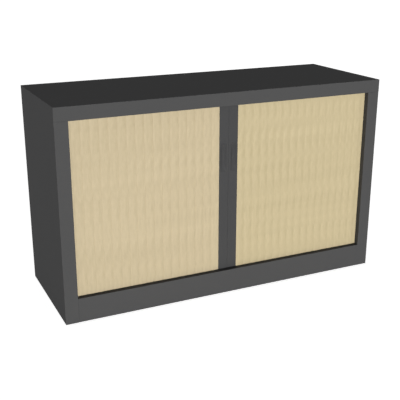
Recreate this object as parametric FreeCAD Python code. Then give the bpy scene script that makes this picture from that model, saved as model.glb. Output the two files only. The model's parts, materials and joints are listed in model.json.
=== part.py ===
import FreeCAD, Part
import math
import os

# Low steel office cabinet with two side-opening tambour doors.
# Millimetres. The origin is the middle of the footprint on the floor: X runs to the right as seen
# from the front, Y runs from the front to the back, Z runs up. Left and right are the viewer's.

# ---- overall sizes -------------------------------------------------------------------------------
WIDTH = 1200.0
DEPTH = 430.0
HEIGHT = 720.0
SHEET = 1.0  # thickness of every folded steel sheet

# ---- front frame ---------------------------------------------------------------------------------
STILE_WIDTH = 45.0
TOP_RAIL_HEIGHT = 45.0
PLINTH_HEIGHT = 85.0
CURTAIN_RECESS = 20.5  # from the face of the frame back to the face of the doors
RETURN_GAP = 1.0  # between the folded edges of the frame and the doors behind them
SILL_STRIP = 0.8  # thickness of the black strip on the plinth's upper fold
SILL_SETBACK = 1.0  # from the strip to the rear edge of the fold
SILL_END_GAP = 0.3
REAR_FLANGE = 20.0  # the sides' inward fold at the back
FOOT_FLANGE = 15.0  # inward folds along the floor
TRAY_FLANGE = 20.0  # folds around the base

# ---- tracks --------------------------------------------------------------------------------------
TRACK_HEIGHT = 12.0
TRACK_GROOVE = 6.0
TRACK_LIP = 2.0
TRACK_WEB = 2.0
TRACK_BEND = 38.0  # radius of the groove's middle line round each corner
TRACK_COVER = 4.5  # how far the frame's edge hides the lips
TRACK_WALL_GAP = 0.5  # to the side and back panels
TRACK_TAIL = 70.0  # run along the back, past the rear corner

# ---- slats of the doors --------------------------------------------------------------------------
SLAT_PITCH = 30.0
SLAT_SKIN = 1.2
SLAT_GAP = 0.4  # between a slat and the next one behind it
SLAT_LOBES = 1  # rounded crowns on the face of one slat
LOBE_RISE = 0.5
LOBE_FLATS = 10
SLAT_LAP = 1.5  # how far a slat covers the next one
SLAT_EDGE_GAP = 0.3
SLAT_HIDDEN = 5.0  # least width of door behind each stile when closed
END_GAP = 0.5  # from the ends of the doors to the tracks
GATHER_STEP = 2.9  # depth that each gathered slat takes beside the opening
POCKET_GAP = 2.0  # from the gathered slats to the sheets around them

# ---- lead rails and their grips ------------------------------------------------------------------
LEAD_WIDTH = 33.5
LEAD_DEPTH = 14.0
LEAD_WALL = 2.0
MEETING_GAP = 0.2  # from each lead rail to the middle of the cabinet
GRIP_WIDTH = 22.0
GRIP_HEIGHT = 98.0
GRIP_EDGE = 3.0  # from the window to the rail's outer edge
GRIP_BOTTOM = 445.0  # height of the window above the floor
GRIP_FIT = 0.2
GRIP_WALL = 1.2
GRIP_RIM = 1.5
GRIP_RIM_RISE = 0.6
GRIP_DEPTH = 6.0
GRIP_END_SLOPE = 14.0  # height of the slope at each end of the cup
GRIP_SIDE_SLOPE = 6.5  # width of the slope along each side of the cup
GUIDE_CAP = 1.5
GUIDE_PLUG = 20.0
GUIDE_FIT = 0.2
GUIDE_INSET = 6.0
TONGUE_GAP = 0.5
TONGUE_DROP = 8.0

# ---- inside --------------------------------------------------------------------------------------
LINER_SETBACK = 5.0  # inner face of the liners, inwards of the stiles' edges
LINER_JOG = 8.0  # from the track's rear run to the liner in front of it
LINER_END = 7.0  # from the end of the track to the end of the liner
LINER_NOTCH_GAP = 1.0
SLOT_WIDTH = 3.0
SLOT_HEIGHT = 14.0
SLOT_PITCH = 40.0
SLOT_FIRST = 50.0  # height of the first slot above the floor of the cabinet
SLOT_TOP_SPACE = 30.0
SLOT_COLUMN_INSET = 42.0  # from each edge of the liner
SHELF_SLOT = 5  # the slot, counted from 0, that carries the shelf
SHELF_FOLD = 25.0
SHELF_HEM = 12.0
SHELF_GAP = 1.0
CLIP_SHEET = 1.5
CLIP_WIDTH = 16.0
CLIP_HEIGHT = 20.0
CLIP_LEDGE = 14.0
CLIP_FIT = 0.2
CLIP_SHELF_GAP = 0.5
HOOK_SHEET = 1.9
HOOK_DROP = 8.0

# ---- levelling feet and screws -------------------------------------------------------------------
FOOT_INSET_X = 60.0
FOOT_INSET_Y = 40.0
PAD_RADIUS = 20.0
PAD_HEIGHT = 5.0
STEM_RADIUS = 4.0
STEM_GAP = 0.3
HEX_ACROSS = 13.0
HEX_HEIGHT = 6.0
NUT_RADIUS = 9.0
NUT_HEIGHT = 22.0
SCREW_RADIUS = 1.4
SCREW_GAP = 0.1
SCREW_HEAD_RADIUS = 2.7
SCREW_HEAD = 1.4
SCREW_TIP = 4.0  # past the sheet
SCREWS_FRONT = 5
SCREWS_SIDE = 2
SCREW_END_SPACE = 60.0

# ---- places that follow from the sizes -----------------------------------------------------------
FRONT = -DEPTH / 2
BACK = DEPTH / 2
SIDE_IN = WIDTH / 2 - SHEET  # inner face of a side panel
FRAME_IN = FRONT + SHEET  # back of the frame's face
BACK_IN = BACK - 2 * SHEET  # front of the back panel
OPENING = WIDTH / 2 - STILE_WIDTH  # half the width between the stiles
RAIL_EDGE = HEIGHT - TOP_RAIL_HEIGHT  # lower edge of the top rail
TOP_UNDER = HEIGHT - SHEET
FLOOR_TOP = PLINTH_HEIGHT - TRACK_COVER - TRACK_HEIGHT
CEILING = RAIL_EDGE + TRACK_COVER + TRACK_HEIGHT
CURTAIN = FRONT + CURTAIN_RECESS  # face of the doors
RETURN_END = CURTAIN - RETURN_GAP

TRACK_HALF = TRACK_GROOVE / 2 + TRACK_LIP
TRACK_FRONT = CURTAIN + SLAT_SKIN
TRACK_SIDE = SIDE_IN - TRACK_WALL_GAP - TRACK_HALF
TRACK_BACK = BACK_IN - TRACK_WALL_GAP - TRACK_HALF
TRACK_END = TRACK_SIDE - TRACK_BEND - TRACK_TAIL
LOWER_LIPS = FLOOR_TOP + TRACK_HEIGHT
UPPER_LIPS = CEILING - TRACK_HEIGHT

SLAT_RAKE = SLAT_SKIN + SLAT_GAP  # each slat leans back by this much over its pitch
SLAT_BOTTOM = LOWER_LIPS + END_GAP
SLAT_TOP = UPPER_LIPS - END_GAP
SLATS = math.ceil((OPENING - LEAD_WIDTH + SLAT_HIDDEN) / SLAT_PITCH)
STACK_DEPTH = (SLATS - 1) * GATHER_STEP + SLAT_RAKE + SLAT_SKIN

LINER_IN = OPENING - LINER_SETBACK - SHEET
LINER_FRONT = CURTAIN + STACK_DEPTH + POCKET_GAP
LINER_BACK = TRACK_BACK - TRACK_HALF - LINER_JOG
LINER_TAIL = TRACK_END - LINER_END
SLOT_COLUMNS = (LINER_FRONT + SLOT_COLUMN_INSET, LINER_BACK - SLOT_COLUMN_INSET)
SLOTS = int((CEILING - SLOT_TOP_SPACE - FLOOR_TOP - SLOT_FIRST) // SLOT_PITCH) + 1
CLIP_MIDDLE = FLOOR_TOP + SLOT_FIRST + SHELF_SLOT * SLOT_PITCH
CLIP_BOTTOM = CLIP_MIDDLE - CLIP_HEIGHT / 2
SHELF_UNDER = CLIP_BOTTOM + CLIP_SHEET
SHELF_TOP = SHELF_UNDER + SHELF_FOLD
SHELF_HALF = LINER_IN - CLIP_SHEET - CLIP_SHELF_GAP


# ---- small tools ---------------------------------------------------------------------------------
def box(x0, x1, y0, y1, z0, z1):
    """A block between two values on each axis."""
    corner = FreeCAD.Vector(x0, y0, z0)
    return Part.makeBox(x1 - x0, y1 - y0, z1 - z0, corner)


def cylinder(radius, x, y, z0, z1):
    """An upright cylinder."""
    return Part.makeCylinder(radius, z1 - z0, FreeCAD.Vector(x, y, z0))


def prism(points, z0, z1):
    """An upright prism on a closed outline of (x, y) points."""
    corners = [FreeCAD.Vector(x, y, z0) for x, y in points]
    outline = Part.makePolygon(corners + corners[:1])
    return Part.Face(outline).extrude(FreeCAD.Vector(0, 0, z1 - z0))


def join(shapes):
    """One solid made of shapes that share faces."""
    shapes = list(shapes)
    return shapes[0].fuse(shapes[1:]).removeSplitter()


def mirrored(shape):
    """The same shape on the left of the cabinet."""
    return shape.mirror(FreeCAD.Vector(0, 0, 0), FreeCAD.Vector(1, 0, 0))


def save(shape, name):
    shape.exportStep("parts/" + name + ".step")


def save_pair(shape, name):
    """Write a right-hand piece and its left-hand mirror image."""
    save(shape, "right_" + name)
    save(mirrored(shape), "left_" + name)


# ---- steel carcass -------------------------------------------------------------------------------
def side_panel():
    """Right side: the side sheet, the front stile with its folded edge, and folds at back and floor."""
    return join([
        box(SIDE_IN, WIDTH / 2, FRAME_IN, BACK - SHEET, 0, TOP_UNDER),
        box(OPENING, WIDTH / 2, FRONT, FRAME_IN, 0, RAIL_EDGE),
        box(OPENING, OPENING + SHEET, FRAME_IN, RETURN_END, PLINTH_HEIGHT, RAIL_EDGE),
        box(WIDTH / 2 - REAR_FLANGE, WIDTH / 2, BACK - SHEET, BACK, 0, TOP_UNDER),
        box(SIDE_IN - FOOT_FLANGE, SIDE_IN, FRAME_IN, BACK_IN, 0, SHEET),
    ])


def top_panel():
    """Top sheet with the top rail folded down at the front and back under itself."""
    return join([
        box(-WIDTH / 2, WIDTH / 2, FRONT, BACK, TOP_UNDER, HEIGHT),
        box(-WIDTH / 2, WIDTH / 2, FRONT, FRAME_IN, RAIL_EDGE, TOP_UNDER),
        box(-OPENING, OPENING, FRAME_IN, RETURN_END, RAIL_EDGE, RAIL_EDGE + SHEET),
    ])


def plinth_rail():
    """Bottom rail between the stiles, down to the floor, folded back along both long edges."""
    return join([
        box(-OPENING, OPENING, FRONT, FRAME_IN, 0, PLINTH_HEIGHT),
        box(-OPENING, OPENING, FRAME_IN, RETURN_END, PLINTH_HEIGHT - SHEET, PLINTH_HEIGHT),
        box(-OPENING, OPENING, FRAME_IN, FRAME_IN + FOOT_FLANGE, 0, SHEET),
    ])


def sill_strip():
    """Plastic strip that covers the plinth's upper fold under the doors."""
    half = OPENING - SILL_END_GAP
    rear = RETURN_END - SILL_SETBACK
    return box(-half, half, FRONT, rear, PLINTH_HEIGHT, PLINTH_HEIGHT + SILL_STRIP)


def back_panel():
    """Back sheet inside the rear folds of the sides, with a fold along the floor."""
    inner = SIDE_IN - FOOT_FLANGE
    return join([
        box(-SIDE_IN, SIDE_IN, BACK_IN, BACK - SHEET, 0, TOP_UNDER),
        box(-inner, inner, BACK_IN - FOOT_FLANGE, BACK_IN, 0, SHEET),
    ])


def tray(sheet_z0, flange_z0, flange_z1):
    """A sheet as large as the inside of the carcass, folded along its four edges."""
    return join([
        box(-SIDE_IN, SIDE_IN, FRAME_IN, BACK_IN, sheet_z0, sheet_z0 + SHEET),
        box(-SIDE_IN, SIDE_IN, FRAME_IN, FRAME_IN + SHEET, flange_z0, flange_z1),
        box(-SIDE_IN, SIDE_IN, BACK_IN - SHEET, BACK_IN, flange_z0, flange_z1),
        box(-SIDE_IN, SHEET - SIDE_IN, FRAME_IN, BACK_IN, flange_z0, flange_z1),
        box(SIDE_IN - SHEET, SIDE_IN, FRAME_IN, BACK_IN, flange_z0, flange_z1),
    ])


def base_tray():
    """Floor of the cabinet with a welded nut for each foot and holes for the track's screws."""
    under = FLOOR_TOP - SHEET
    places = foot_places()
    nuts = [cylinder(NUT_RADIUS, x, y, under - NUT_HEIGHT, under) for x, y in places.values()]
    bores = [
        cylinder(STEM_RADIUS + STEM_GAP, x, y, under - NUT_HEIGHT, FLOOR_TOP)
        for x, y in places.values()
    ]
    solid = join([tray(under, under - TRAY_FLANGE, under)] + nuts)
    return solid.cut(bores + screw_holes(under, FLOOR_TOP))


def sub_top_tray():
    """Ceiling of the cabinet: it stiffens the top and carries the upper track."""
    solid = tray(CEILING, CEILING + SHEET, TOP_UNDER)
    return solid.cut(screw_holes(CEILING, CEILING + SHEET))


# ---- tracks --------------------------------------------------------------------------------------
def track_side(offset):
    """The groove's middle line moved outwards by offset, from the front centre to the rear tail."""
    side = TRACK_SIDE + offset
    front = TRACK_FRONT - offset
    back = TRACK_BACK + offset
    bend = TRACK_BEND + offset
    slant = bend * (1 - math.sqrt(0.5))
    a = FreeCAD.Vector(0, front, 0)
    b = FreeCAD.Vector(side - bend, front, 0)
    c = FreeCAD.Vector(side - slant, front + slant, 0)
    d = FreeCAD.Vector(side, front + bend, 0)
    e = FreeCAD.Vector(side, back - bend, 0)
    f = FreeCAD.Vector(side - slant, back - slant, 0)
    g = FreeCAD.Vector(side - bend, back, 0)
    h = FreeCAD.Vector(TRACK_END, back, 0)
    return [
        Part.makeLine(a, b),
        Part.Arc(b, c, d).toShape(),
        Part.makeLine(d, e),
        Part.Arc(e, f, g).toShape(),
        Part.makeLine(g, h),
    ]


def track_band(inner, outer, z0, z1):
    """Half of a band of the track between two offsets from its middle line, on the right."""
    tail = Part.makeLine(
        FreeCAD.Vector(TRACK_END, TRACK_BACK + outer, 0),
        FreeCAD.Vector(TRACK_END, TRACK_BACK + inner, 0),
    )
    start = Part.makeLine(
        FreeCAD.Vector(0, TRACK_FRONT - inner, 0),
        FreeCAD.Vector(0, TRACK_FRONT - outer, 0),
    )
    edges = track_side(outer) + [tail] + track_side(inner) + [start]
    wire = Part.Wire(Part.__sortEdges__(edges))
    face = Part.Face(wire)
    face.translate(FreeCAD.Vector(0, 0, z0))
    return face.extrude(FreeCAD.Vector(0, 0, z1 - z0))


def track(web_z0, lips_z0):
    """Grooved track along the front and round both corners: a web with a lip on either side."""
    groove = TRACK_GROOVE / 2
    lips_z1 = lips_z0 + TRACK_HEIGHT - TRACK_WEB
    half = join([
        track_band(-TRACK_HALF, TRACK_HALF, web_z0, web_z0 + TRACK_WEB),
        track_band(-TRACK_HALF, -groove, lips_z0, lips_z1),
        track_band(groove, TRACK_HALF, lips_z0, lips_z1),
    ])
    whole = join([half, mirrored(half)])
    return whole.cut(screw_holes(web_z0, web_z0 + TRACK_WEB))


def door_tracks():
    """The lower track, open upwards, and the upper track, open downwards."""
    lower = track(FLOOR_TOP, FLOOR_TOP + TRACK_WEB)
    upper = track(CEILING - TRACK_WEB, UPPER_LIPS)
    return Part.makeCompound([lower, upper])


# ---- screws --------------------------------------------------------------------------------------
def screw_places():
    """Middles of the track screws: evenly along the front run, and along each side run."""
    reach = TRACK_SIDE - TRACK_BEND
    step = 2 * reach / (SCREWS_FRONT - 1)
    places = [(-reach + i * step, TRACK_FRONT) for i in range(SCREWS_FRONT)]
    low = TRACK_FRONT + TRACK_BEND + SCREW_END_SPACE
    high = TRACK_BACK - TRACK_BEND - SCREW_END_SPACE
    for i in range(SCREWS_SIDE):
        y = low + i * (high - low) / (SCREWS_SIDE - 1)
        places += [(-TRACK_SIDE, y), (TRACK_SIDE, y)]
    return places


def screw_holes(z0, z1):
    radius = SCREW_RADIUS + SCREW_GAP
    return [cylinder(radius, x, y, z0, z1) for x, y in screw_places()]


def track_screws():
    """Small pan-head screws: heads inside the grooves, tips past the sheets that carry the tracks."""
    screws = []
    low_seat = FLOOR_TOP + TRACK_WEB
    high_seat = CEILING - TRACK_WEB
    for x, y in screw_places():
        low_head = cylinder(SCREW_HEAD_RADIUS, x, y, low_seat, low_seat + SCREW_HEAD)
        low_shank = cylinder(SCREW_RADIUS, x, y, FLOOR_TOP - SHEET - SCREW_TIP, low_seat)
        high_head = cylinder(SCREW_HEAD_RADIUS, x, y, high_seat - SCREW_HEAD, high_seat)
        high_shank = cylinder(SCREW_RADIUS, x, y, high_seat, CEILING + SHEET + SCREW_TIP)
        screws += [low_head.fuse(low_shank), high_head.fuse(high_shank)]
    return Part.makeCompound(screws)


# ---- doors ---------------------------------------------------------------------------------------
def rake(v):
    """How far the face of a slat lies behind the face of the door, v from its inner edge."""
    return SLAT_RAKE * (1 - v / SLAT_PITCH)


def slat_face():
    """Points (v, depth) along the rounded face of a slat, ending with the lap."""
    lobe = SLAT_PITCH / SLAT_LOBES
    points = [(SLAT_EDGE_GAP, rake(SLAT_EDGE_GAP))]
    for i in range(1, SLAT_LOBES * LOBE_FLATS + 1):
        v = i * lobe / LOBE_FLATS
        rise = LOBE_RISE * abs(math.sin(math.pi * v / lobe))
        points.append((v, rake(v) - rise))
    return points + [(SLAT_PITCH + SLAT_LAP, rake(SLAT_PITCH + SLAT_LAP))]


def slat(number):
    """One slat of the right door, counted from 1 beside the lead rail."""
    inner = LEAD_WIDTH + (number - 1) * SLAT_PITCH
    end = SLAT_PITCH + SLAT_LAP
    rear = [(end, rake(end) + SLAT_SKIN), (SLAT_EDGE_GAP, rake(SLAT_EDGE_GAP) + SLAT_SKIN)]
    outline = [(inner + v, CURTAIN + depth) for v, depth in slat_face() + rear]
    return prism(outline, SLAT_BOTTOM, SLAT_TOP)


def grip_window():
    """Left edge, right edge, bottom and top of the window for the grip in the right lead rail."""
    right = LEAD_WIDTH - GRIP_EDGE
    return right - GRIP_WIDTH, right, GRIP_BOTTOM, GRIP_BOTTOM + GRIP_HEIGHT


def lead_rail():
    """Hollow rail that leads the right door, with a lap over the first slat and the grip's window."""
    x0, x1, z0, z1 = grip_window()
    bottom = SLAT_BOTTOM + GUIDE_CAP
    top = SLAT_TOP - GUIDE_CAP
    rear = CURTAIN + LEAD_DEPTH
    tube = box(MEETING_GAP, LEAD_WIDTH, CURTAIN, rear, bottom, top)
    lap = box(LEAD_WIDTH, LEAD_WIDTH + SLAT_LAP, CURTAIN, CURTAIN + SLAT_SKIN, bottom, top)
    bore = box(
        MEETING_GAP + LEAD_WALL, LEAD_WIDTH - LEAD_WALL, CURTAIN + LEAD_WALL, rear - LEAD_WALL, bottom, top
    )
    window = box(x0, x1, CURTAIN, CURTAIN + LEAD_WALL, z0, z1)
    return join([tube, lap]).cut([bore, window])


def grip_cup():
    """Finger cup set in the window: a thin rim on the rail's face and a dish with four slopes."""
    x0, x1, z0, z1 = grip_window()
    rim = box(
        x0 - GRIP_RIM, x1 + GRIP_RIM, CURTAIN - GRIP_RIM_RISE, CURTAIN, z0 - GRIP_RIM, z1 + GRIP_RIM
    )
    deep = CURTAIN + GRIP_DEPTH
    body = box(x0 + GRIP_FIT, x1 - GRIP_FIT, CURTAIN, deep, z0 + GRIP_FIT, z1 - GRIP_FIT)
    wall = GRIP_FIT + GRIP_WALL
    mouth = CURTAIN - GRIP_RIM_RISE
    floor = deep - GRIP_WALL
    side = wall + GRIP_SIDE_SLOPE
    end = wall + GRIP_END_SLOPE
    dish = Part.makeWedge(
        x0 + wall, mouth, z0 + wall, z0 + end, x0 + side,
        x1 - wall, floor, z1 - wall, z1 - end, x1 - side,
    )
    return join([rim, body]).cut(dish)


def rail_guide(end, way):
    """Nylon slider on one end of the lead rail: cap, plug in the rail and tongue in the groove."""
    rear = CURTAIN + LEAD_DEPTH
    cap_in = end - way * GUIDE_CAP
    plug_in = cap_in - way * GUIDE_PLUG
    tongue_end = end + way * TONGUE_DROP
    wall = LEAD_WALL + GUIDE_FIT
    tongue_half = TRACK_GROOVE / 2 - TONGUE_GAP
    pieces = [
        (MEETING_GAP, LEAD_WIDTH, CURTAIN, rear, end, cap_in),
        (MEETING_GAP + wall, LEAD_WIDTH - wall, CURTAIN + wall, rear - wall, cap_in, plug_in),
        (
            MEETING_GAP + GUIDE_INSET, LEAD_WIDTH - GUIDE_INSET,
            TRACK_FRONT - tongue_half, TRACK_FRONT + tongue_half, end, tongue_end,
        ),
    ]
    return join(
        box(x0, x1, y0, y1, min(za, zb), max(za, zb)) for x0, x1, y0, y1, za, zb in pieces
    )


def rail_guides():
    return Part.makeCompound([rail_guide(SLAT_BOTTOM, -1), rail_guide(SLAT_TOP, 1)])


# ---- inside --------------------------------------------------------------------------------------
def curtain_liner():
    """False side that hides the open door: it closes the pocket in front and steps in at the back."""
    sheet = join([
        box(LINER_IN, SIDE_IN, LINER_FRONT, LINER_FRONT + SHEET, FLOOR_TOP, CEILING),
        box(LINER_IN, LINER_IN + SHEET, LINER_FRONT, LINER_BACK, FLOOR_TOP, CEILING),
        box(LINER_TAIL, LINER_IN + SHEET, LINER_BACK - SHEET, LINER_BACK, FLOOR_TOP, CEILING),
        box(LINER_TAIL, LINER_TAIL + SHEET, LINER_BACK, BACK_IN, FLOOR_TOP, CEILING),
    ])
    notch_x = TRACK_SIDE - TRACK_HALF - LINER_NOTCH_GAP
    notch_y = (LINER_FRONT, LINER_FRONT + SHEET)
    low_notch = box(notch_x, SIDE_IN, *notch_y, FLOOR_TOP, LOWER_LIPS + LINER_NOTCH_GAP)
    high_notch = box(notch_x, SIDE_IN, *notch_y, UPPER_LIPS - LINER_NOTCH_GAP, CEILING)
    slots = []
    for column in SLOT_COLUMNS:
        for i in range(SLOTS):
            middle = FLOOR_TOP + SLOT_FIRST + i * SLOT_PITCH
            slots.append(box(
                LINER_IN, LINER_IN + SHEET,
                column - SLOT_WIDTH / 2, column + SLOT_WIDTH / 2,
                middle - SLOT_HEIGHT / 2, middle + SLOT_HEIGHT / 2,
            ))
    return sheet.cut([low_notch, high_notch] + slots)


def shelf():
    """Shelf folded down on its four sides, with a hem under the front edge."""
    half = SHELF_HALF
    front = LINER_FRONT + SHEET + SHELF_GAP
    back = LINER_BACK - SHEET - SHELF_GAP
    under = SHELF_TOP - SHEET
    return join([
        box(-half, half, front, back, under, SHELF_TOP),
        box(-half, half, front, front + SHEET, SHELF_UNDER, under),
        box(-half, half, back - SHEET, back, SHELF_UNDER, under),
        box(-half, SHEET - half, front, back, SHELF_UNDER, under),
        box(half - SHEET, half, front, back, SHELF_UNDER, under),
        box(-half, half, front, front + SHELF_HEM, SHELF_UNDER, SHELF_UNDER + SHEET),
    ])


def shelf_clip(column):
    """Clip on the right liner: a plate, a ledge under the shelf and a hook through the slot."""
    y0 = column - CLIP_WIDTH / 2
    y1 = column + CLIP_WIDTH / 2
    plate = box(LINER_IN - CLIP_SHEET, LINER_IN, y0, y1, CLIP_BOTTOM, CLIP_BOTTOM + CLIP_HEIGHT)
    ledge = box(
        LINER_IN - CLIP_LEDGE, LINER_IN - CLIP_SHEET, y0, y1, CLIP_BOTTOM, CLIP_BOTTOM + CLIP_SHEET
    )
    hook_y = (column - SLOT_WIDTH / 2 + CLIP_FIT, column + SLOT_WIDTH / 2 - CLIP_FIT)
    behind = LINER_IN + SHEET + CLIP_FIT
    neck_low = CLIP_MIDDLE - SLOT_HEIGHT / 2 + CLIP_FIT
    neck_high = CLIP_MIDDLE + SLOT_HEIGHT / 2 - CLIP_FIT
    neck = box(LINER_IN, behind + HOOK_SHEET, *hook_y, neck_low, neck_high)
    drop = box(behind, behind + HOOK_SHEET, *hook_y, neck_low - HOOK_DROP, neck_low)
    return join([plate, ledge, neck, drop])


def shelf_clips():
    right = [shelf_clip(column) for column in SLOT_COLUMNS]
    return Part.makeCompound(right + [mirrored(clip) for clip in right])


# ---- levelling feet ------------------------------------------------------------------------------
def foot_places():
    """Middle of each foot by name."""
    x = WIDTH / 2 - FOOT_INSET_X
    y = DEPTH / 2 - FOOT_INSET_Y
    return {
        "front_left_foot": (-x, -y),
        "front_right_foot": (x, -y),
        "rear_left_foot": (-x, y),
        "rear_right_foot": (x, y),
    }


def foot(x, y):
    """Pad on the floor, hexagon for a spanner and a threaded stem up to the floor of the cabinet."""
    pad = cylinder(PAD_RADIUS, x, y, 0, PAD_HEIGHT)
    radius = HEX_ACROSS / math.sqrt(3)
    angles = [math.radians(60 * i) for i in range(6)]
    corners = [(x + radius * math.cos(a), y + radius * math.sin(a)) for a in angles]
    hexagon = prism(corners, PAD_HEIGHT, PAD_HEIGHT + HEX_HEIGHT)
    stem = cylinder(STEM_RADIUS, x, y, PAD_HEIGHT + HEX_HEIGHT, FLOOR_TOP)
    return join([pad, hexagon, stem])


# ---- write every piece ---------------------------------------------------------------------------
os.makedirs("parts", exist_ok=True)

save(top_panel(), "top_panel")
save(sub_top_tray(), "sub_top_tray")
save(base_tray(), "base_tray")
save(plinth_rail(), "plinth_rail")
save(sill_strip(), "sill_strip")
save(back_panel(), "back_panel")
save_pair(side_panel(), "side_panel")
save_pair(curtain_liner(), "curtain_liner")
save(door_tracks(), "door_tracks")
save(track_screws(), "track_screws")
save(shelf(), "shelf")
save(shelf_clips(), "shelf_clips")
save_pair(lead_rail(), "lead_rail")
save_pair(grip_cup(), "grip_cup")
save_pair(rail_guides(), "rail_guides")
for slat_number in range(1, SLATS + 1):
    save_pair(slat(slat_number), "slat_%02d" % slat_number)
for foot_name, (foot_x, foot_y) in foot_places().items():
    save(foot(foot_x, foot_y), foot_name)
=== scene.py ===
"""Low steel office cabinet with two tambour doors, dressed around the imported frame.

Metres, in the frame's own axes: X runs to the right as seen from the front, Y to the back and Z up.
"""

import json
import logging
import math
from collections import defaultdict
from collections.abc import Mapping, Sequence
from dataclasses import dataclass, replace
from enum import Enum
from typing import NamedTuple

import bmesh
import bpy
from bmesh.types import BMEdge, BMesh, BMLoop
from bpy.types import Material, Mesh, Node, NodeSocket, NodeTree, Object, World
from mathutils import Matrix, Vector
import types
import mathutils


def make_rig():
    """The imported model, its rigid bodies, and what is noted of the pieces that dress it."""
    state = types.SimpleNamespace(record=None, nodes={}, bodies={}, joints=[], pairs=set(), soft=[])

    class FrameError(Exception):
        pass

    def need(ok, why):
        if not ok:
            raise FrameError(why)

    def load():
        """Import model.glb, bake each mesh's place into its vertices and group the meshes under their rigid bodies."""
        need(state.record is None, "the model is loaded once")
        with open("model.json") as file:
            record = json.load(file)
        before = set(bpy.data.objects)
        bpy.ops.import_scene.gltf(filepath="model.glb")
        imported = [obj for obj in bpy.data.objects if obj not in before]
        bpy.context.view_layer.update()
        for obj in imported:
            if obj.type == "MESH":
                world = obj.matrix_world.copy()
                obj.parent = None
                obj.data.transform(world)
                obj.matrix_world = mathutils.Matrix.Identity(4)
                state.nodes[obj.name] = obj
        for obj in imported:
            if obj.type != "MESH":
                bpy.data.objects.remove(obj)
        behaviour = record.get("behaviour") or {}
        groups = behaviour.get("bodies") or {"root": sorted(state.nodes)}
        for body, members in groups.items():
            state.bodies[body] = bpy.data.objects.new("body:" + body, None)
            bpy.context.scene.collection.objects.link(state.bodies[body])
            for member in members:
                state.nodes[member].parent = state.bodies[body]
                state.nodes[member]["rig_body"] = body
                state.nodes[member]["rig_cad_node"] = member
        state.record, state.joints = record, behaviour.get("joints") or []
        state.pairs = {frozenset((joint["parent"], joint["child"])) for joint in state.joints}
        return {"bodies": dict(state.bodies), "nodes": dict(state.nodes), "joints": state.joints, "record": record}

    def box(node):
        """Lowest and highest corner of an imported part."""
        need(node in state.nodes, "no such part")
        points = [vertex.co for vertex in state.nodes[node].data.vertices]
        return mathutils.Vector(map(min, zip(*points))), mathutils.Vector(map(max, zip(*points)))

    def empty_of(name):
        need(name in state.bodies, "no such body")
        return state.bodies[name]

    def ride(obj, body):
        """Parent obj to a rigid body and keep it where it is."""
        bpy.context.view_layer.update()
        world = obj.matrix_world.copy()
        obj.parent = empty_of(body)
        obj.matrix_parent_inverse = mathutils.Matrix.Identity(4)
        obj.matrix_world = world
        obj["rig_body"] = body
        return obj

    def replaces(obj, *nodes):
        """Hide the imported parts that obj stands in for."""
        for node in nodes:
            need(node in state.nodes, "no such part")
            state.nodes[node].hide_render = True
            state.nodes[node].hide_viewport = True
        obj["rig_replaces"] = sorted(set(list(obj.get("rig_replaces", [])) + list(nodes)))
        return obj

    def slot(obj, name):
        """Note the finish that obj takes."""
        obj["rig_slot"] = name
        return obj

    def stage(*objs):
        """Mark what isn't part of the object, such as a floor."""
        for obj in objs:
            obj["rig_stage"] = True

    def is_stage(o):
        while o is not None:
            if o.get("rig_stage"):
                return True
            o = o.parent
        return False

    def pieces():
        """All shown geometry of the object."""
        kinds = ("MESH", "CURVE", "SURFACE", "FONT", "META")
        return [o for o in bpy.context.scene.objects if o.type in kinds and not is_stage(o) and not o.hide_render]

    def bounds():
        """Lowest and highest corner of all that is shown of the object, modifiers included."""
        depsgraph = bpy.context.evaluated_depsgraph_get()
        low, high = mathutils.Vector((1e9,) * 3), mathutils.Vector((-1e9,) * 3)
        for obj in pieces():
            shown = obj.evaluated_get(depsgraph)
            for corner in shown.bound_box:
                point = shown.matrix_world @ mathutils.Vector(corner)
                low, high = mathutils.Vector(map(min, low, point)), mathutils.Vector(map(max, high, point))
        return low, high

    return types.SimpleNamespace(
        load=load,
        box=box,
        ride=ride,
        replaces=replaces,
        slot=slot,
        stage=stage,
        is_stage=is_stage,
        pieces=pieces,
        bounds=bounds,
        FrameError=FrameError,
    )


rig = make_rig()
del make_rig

LOG = logging.getLogger("tambour_cabinet")
SIZE_FILE = "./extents.json"
MM = 0.001
MERGE = 1e-6  # points that are nearer than this become one
MIXED_COLOUR = 2  # number of the Mix node's output for colours
WORN_EDGE = "worn_edge"  # mesh attribute, 1 on the rounded edges of a piece
SLAT_PLACE = "slat_place"  # mesh attribute, how far right of where a slat's print and painted shade start
FIGURE_SHIFT = "figure_shift"  # mesh attribute, how far a slat's print has moved on
TURN = "turn"  # point attribute, how a scattered part is turned

Colour = tuple[float, float, float, float]
Profile = Sequence[tuple[float, float]]
Sockets = Mapping[str, str]  # each socket's name and type


class Side(Enum):
    """The two sides of the cabinet as seen from the front."""

    LEFT = -1
    RIGHT = 1

    @property
    def word(self) -> str:
        """The side's name as the frame's nodes spell it."""
        return self.name.lower()


class Slot(Enum):
    """The record's material slots."""

    PAINT = "carcass_paint"
    DECOR = "slat_decor"
    RAIL = "lead_rail_finish"
    GRIP = "grip_plastic"
    GUIDE = "guide_nylon"
    TRACK = "track_plastic"
    CLIP = "clip_steel"
    SCREW = "screw_steel"
    FOOT = "foot_steel"


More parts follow.
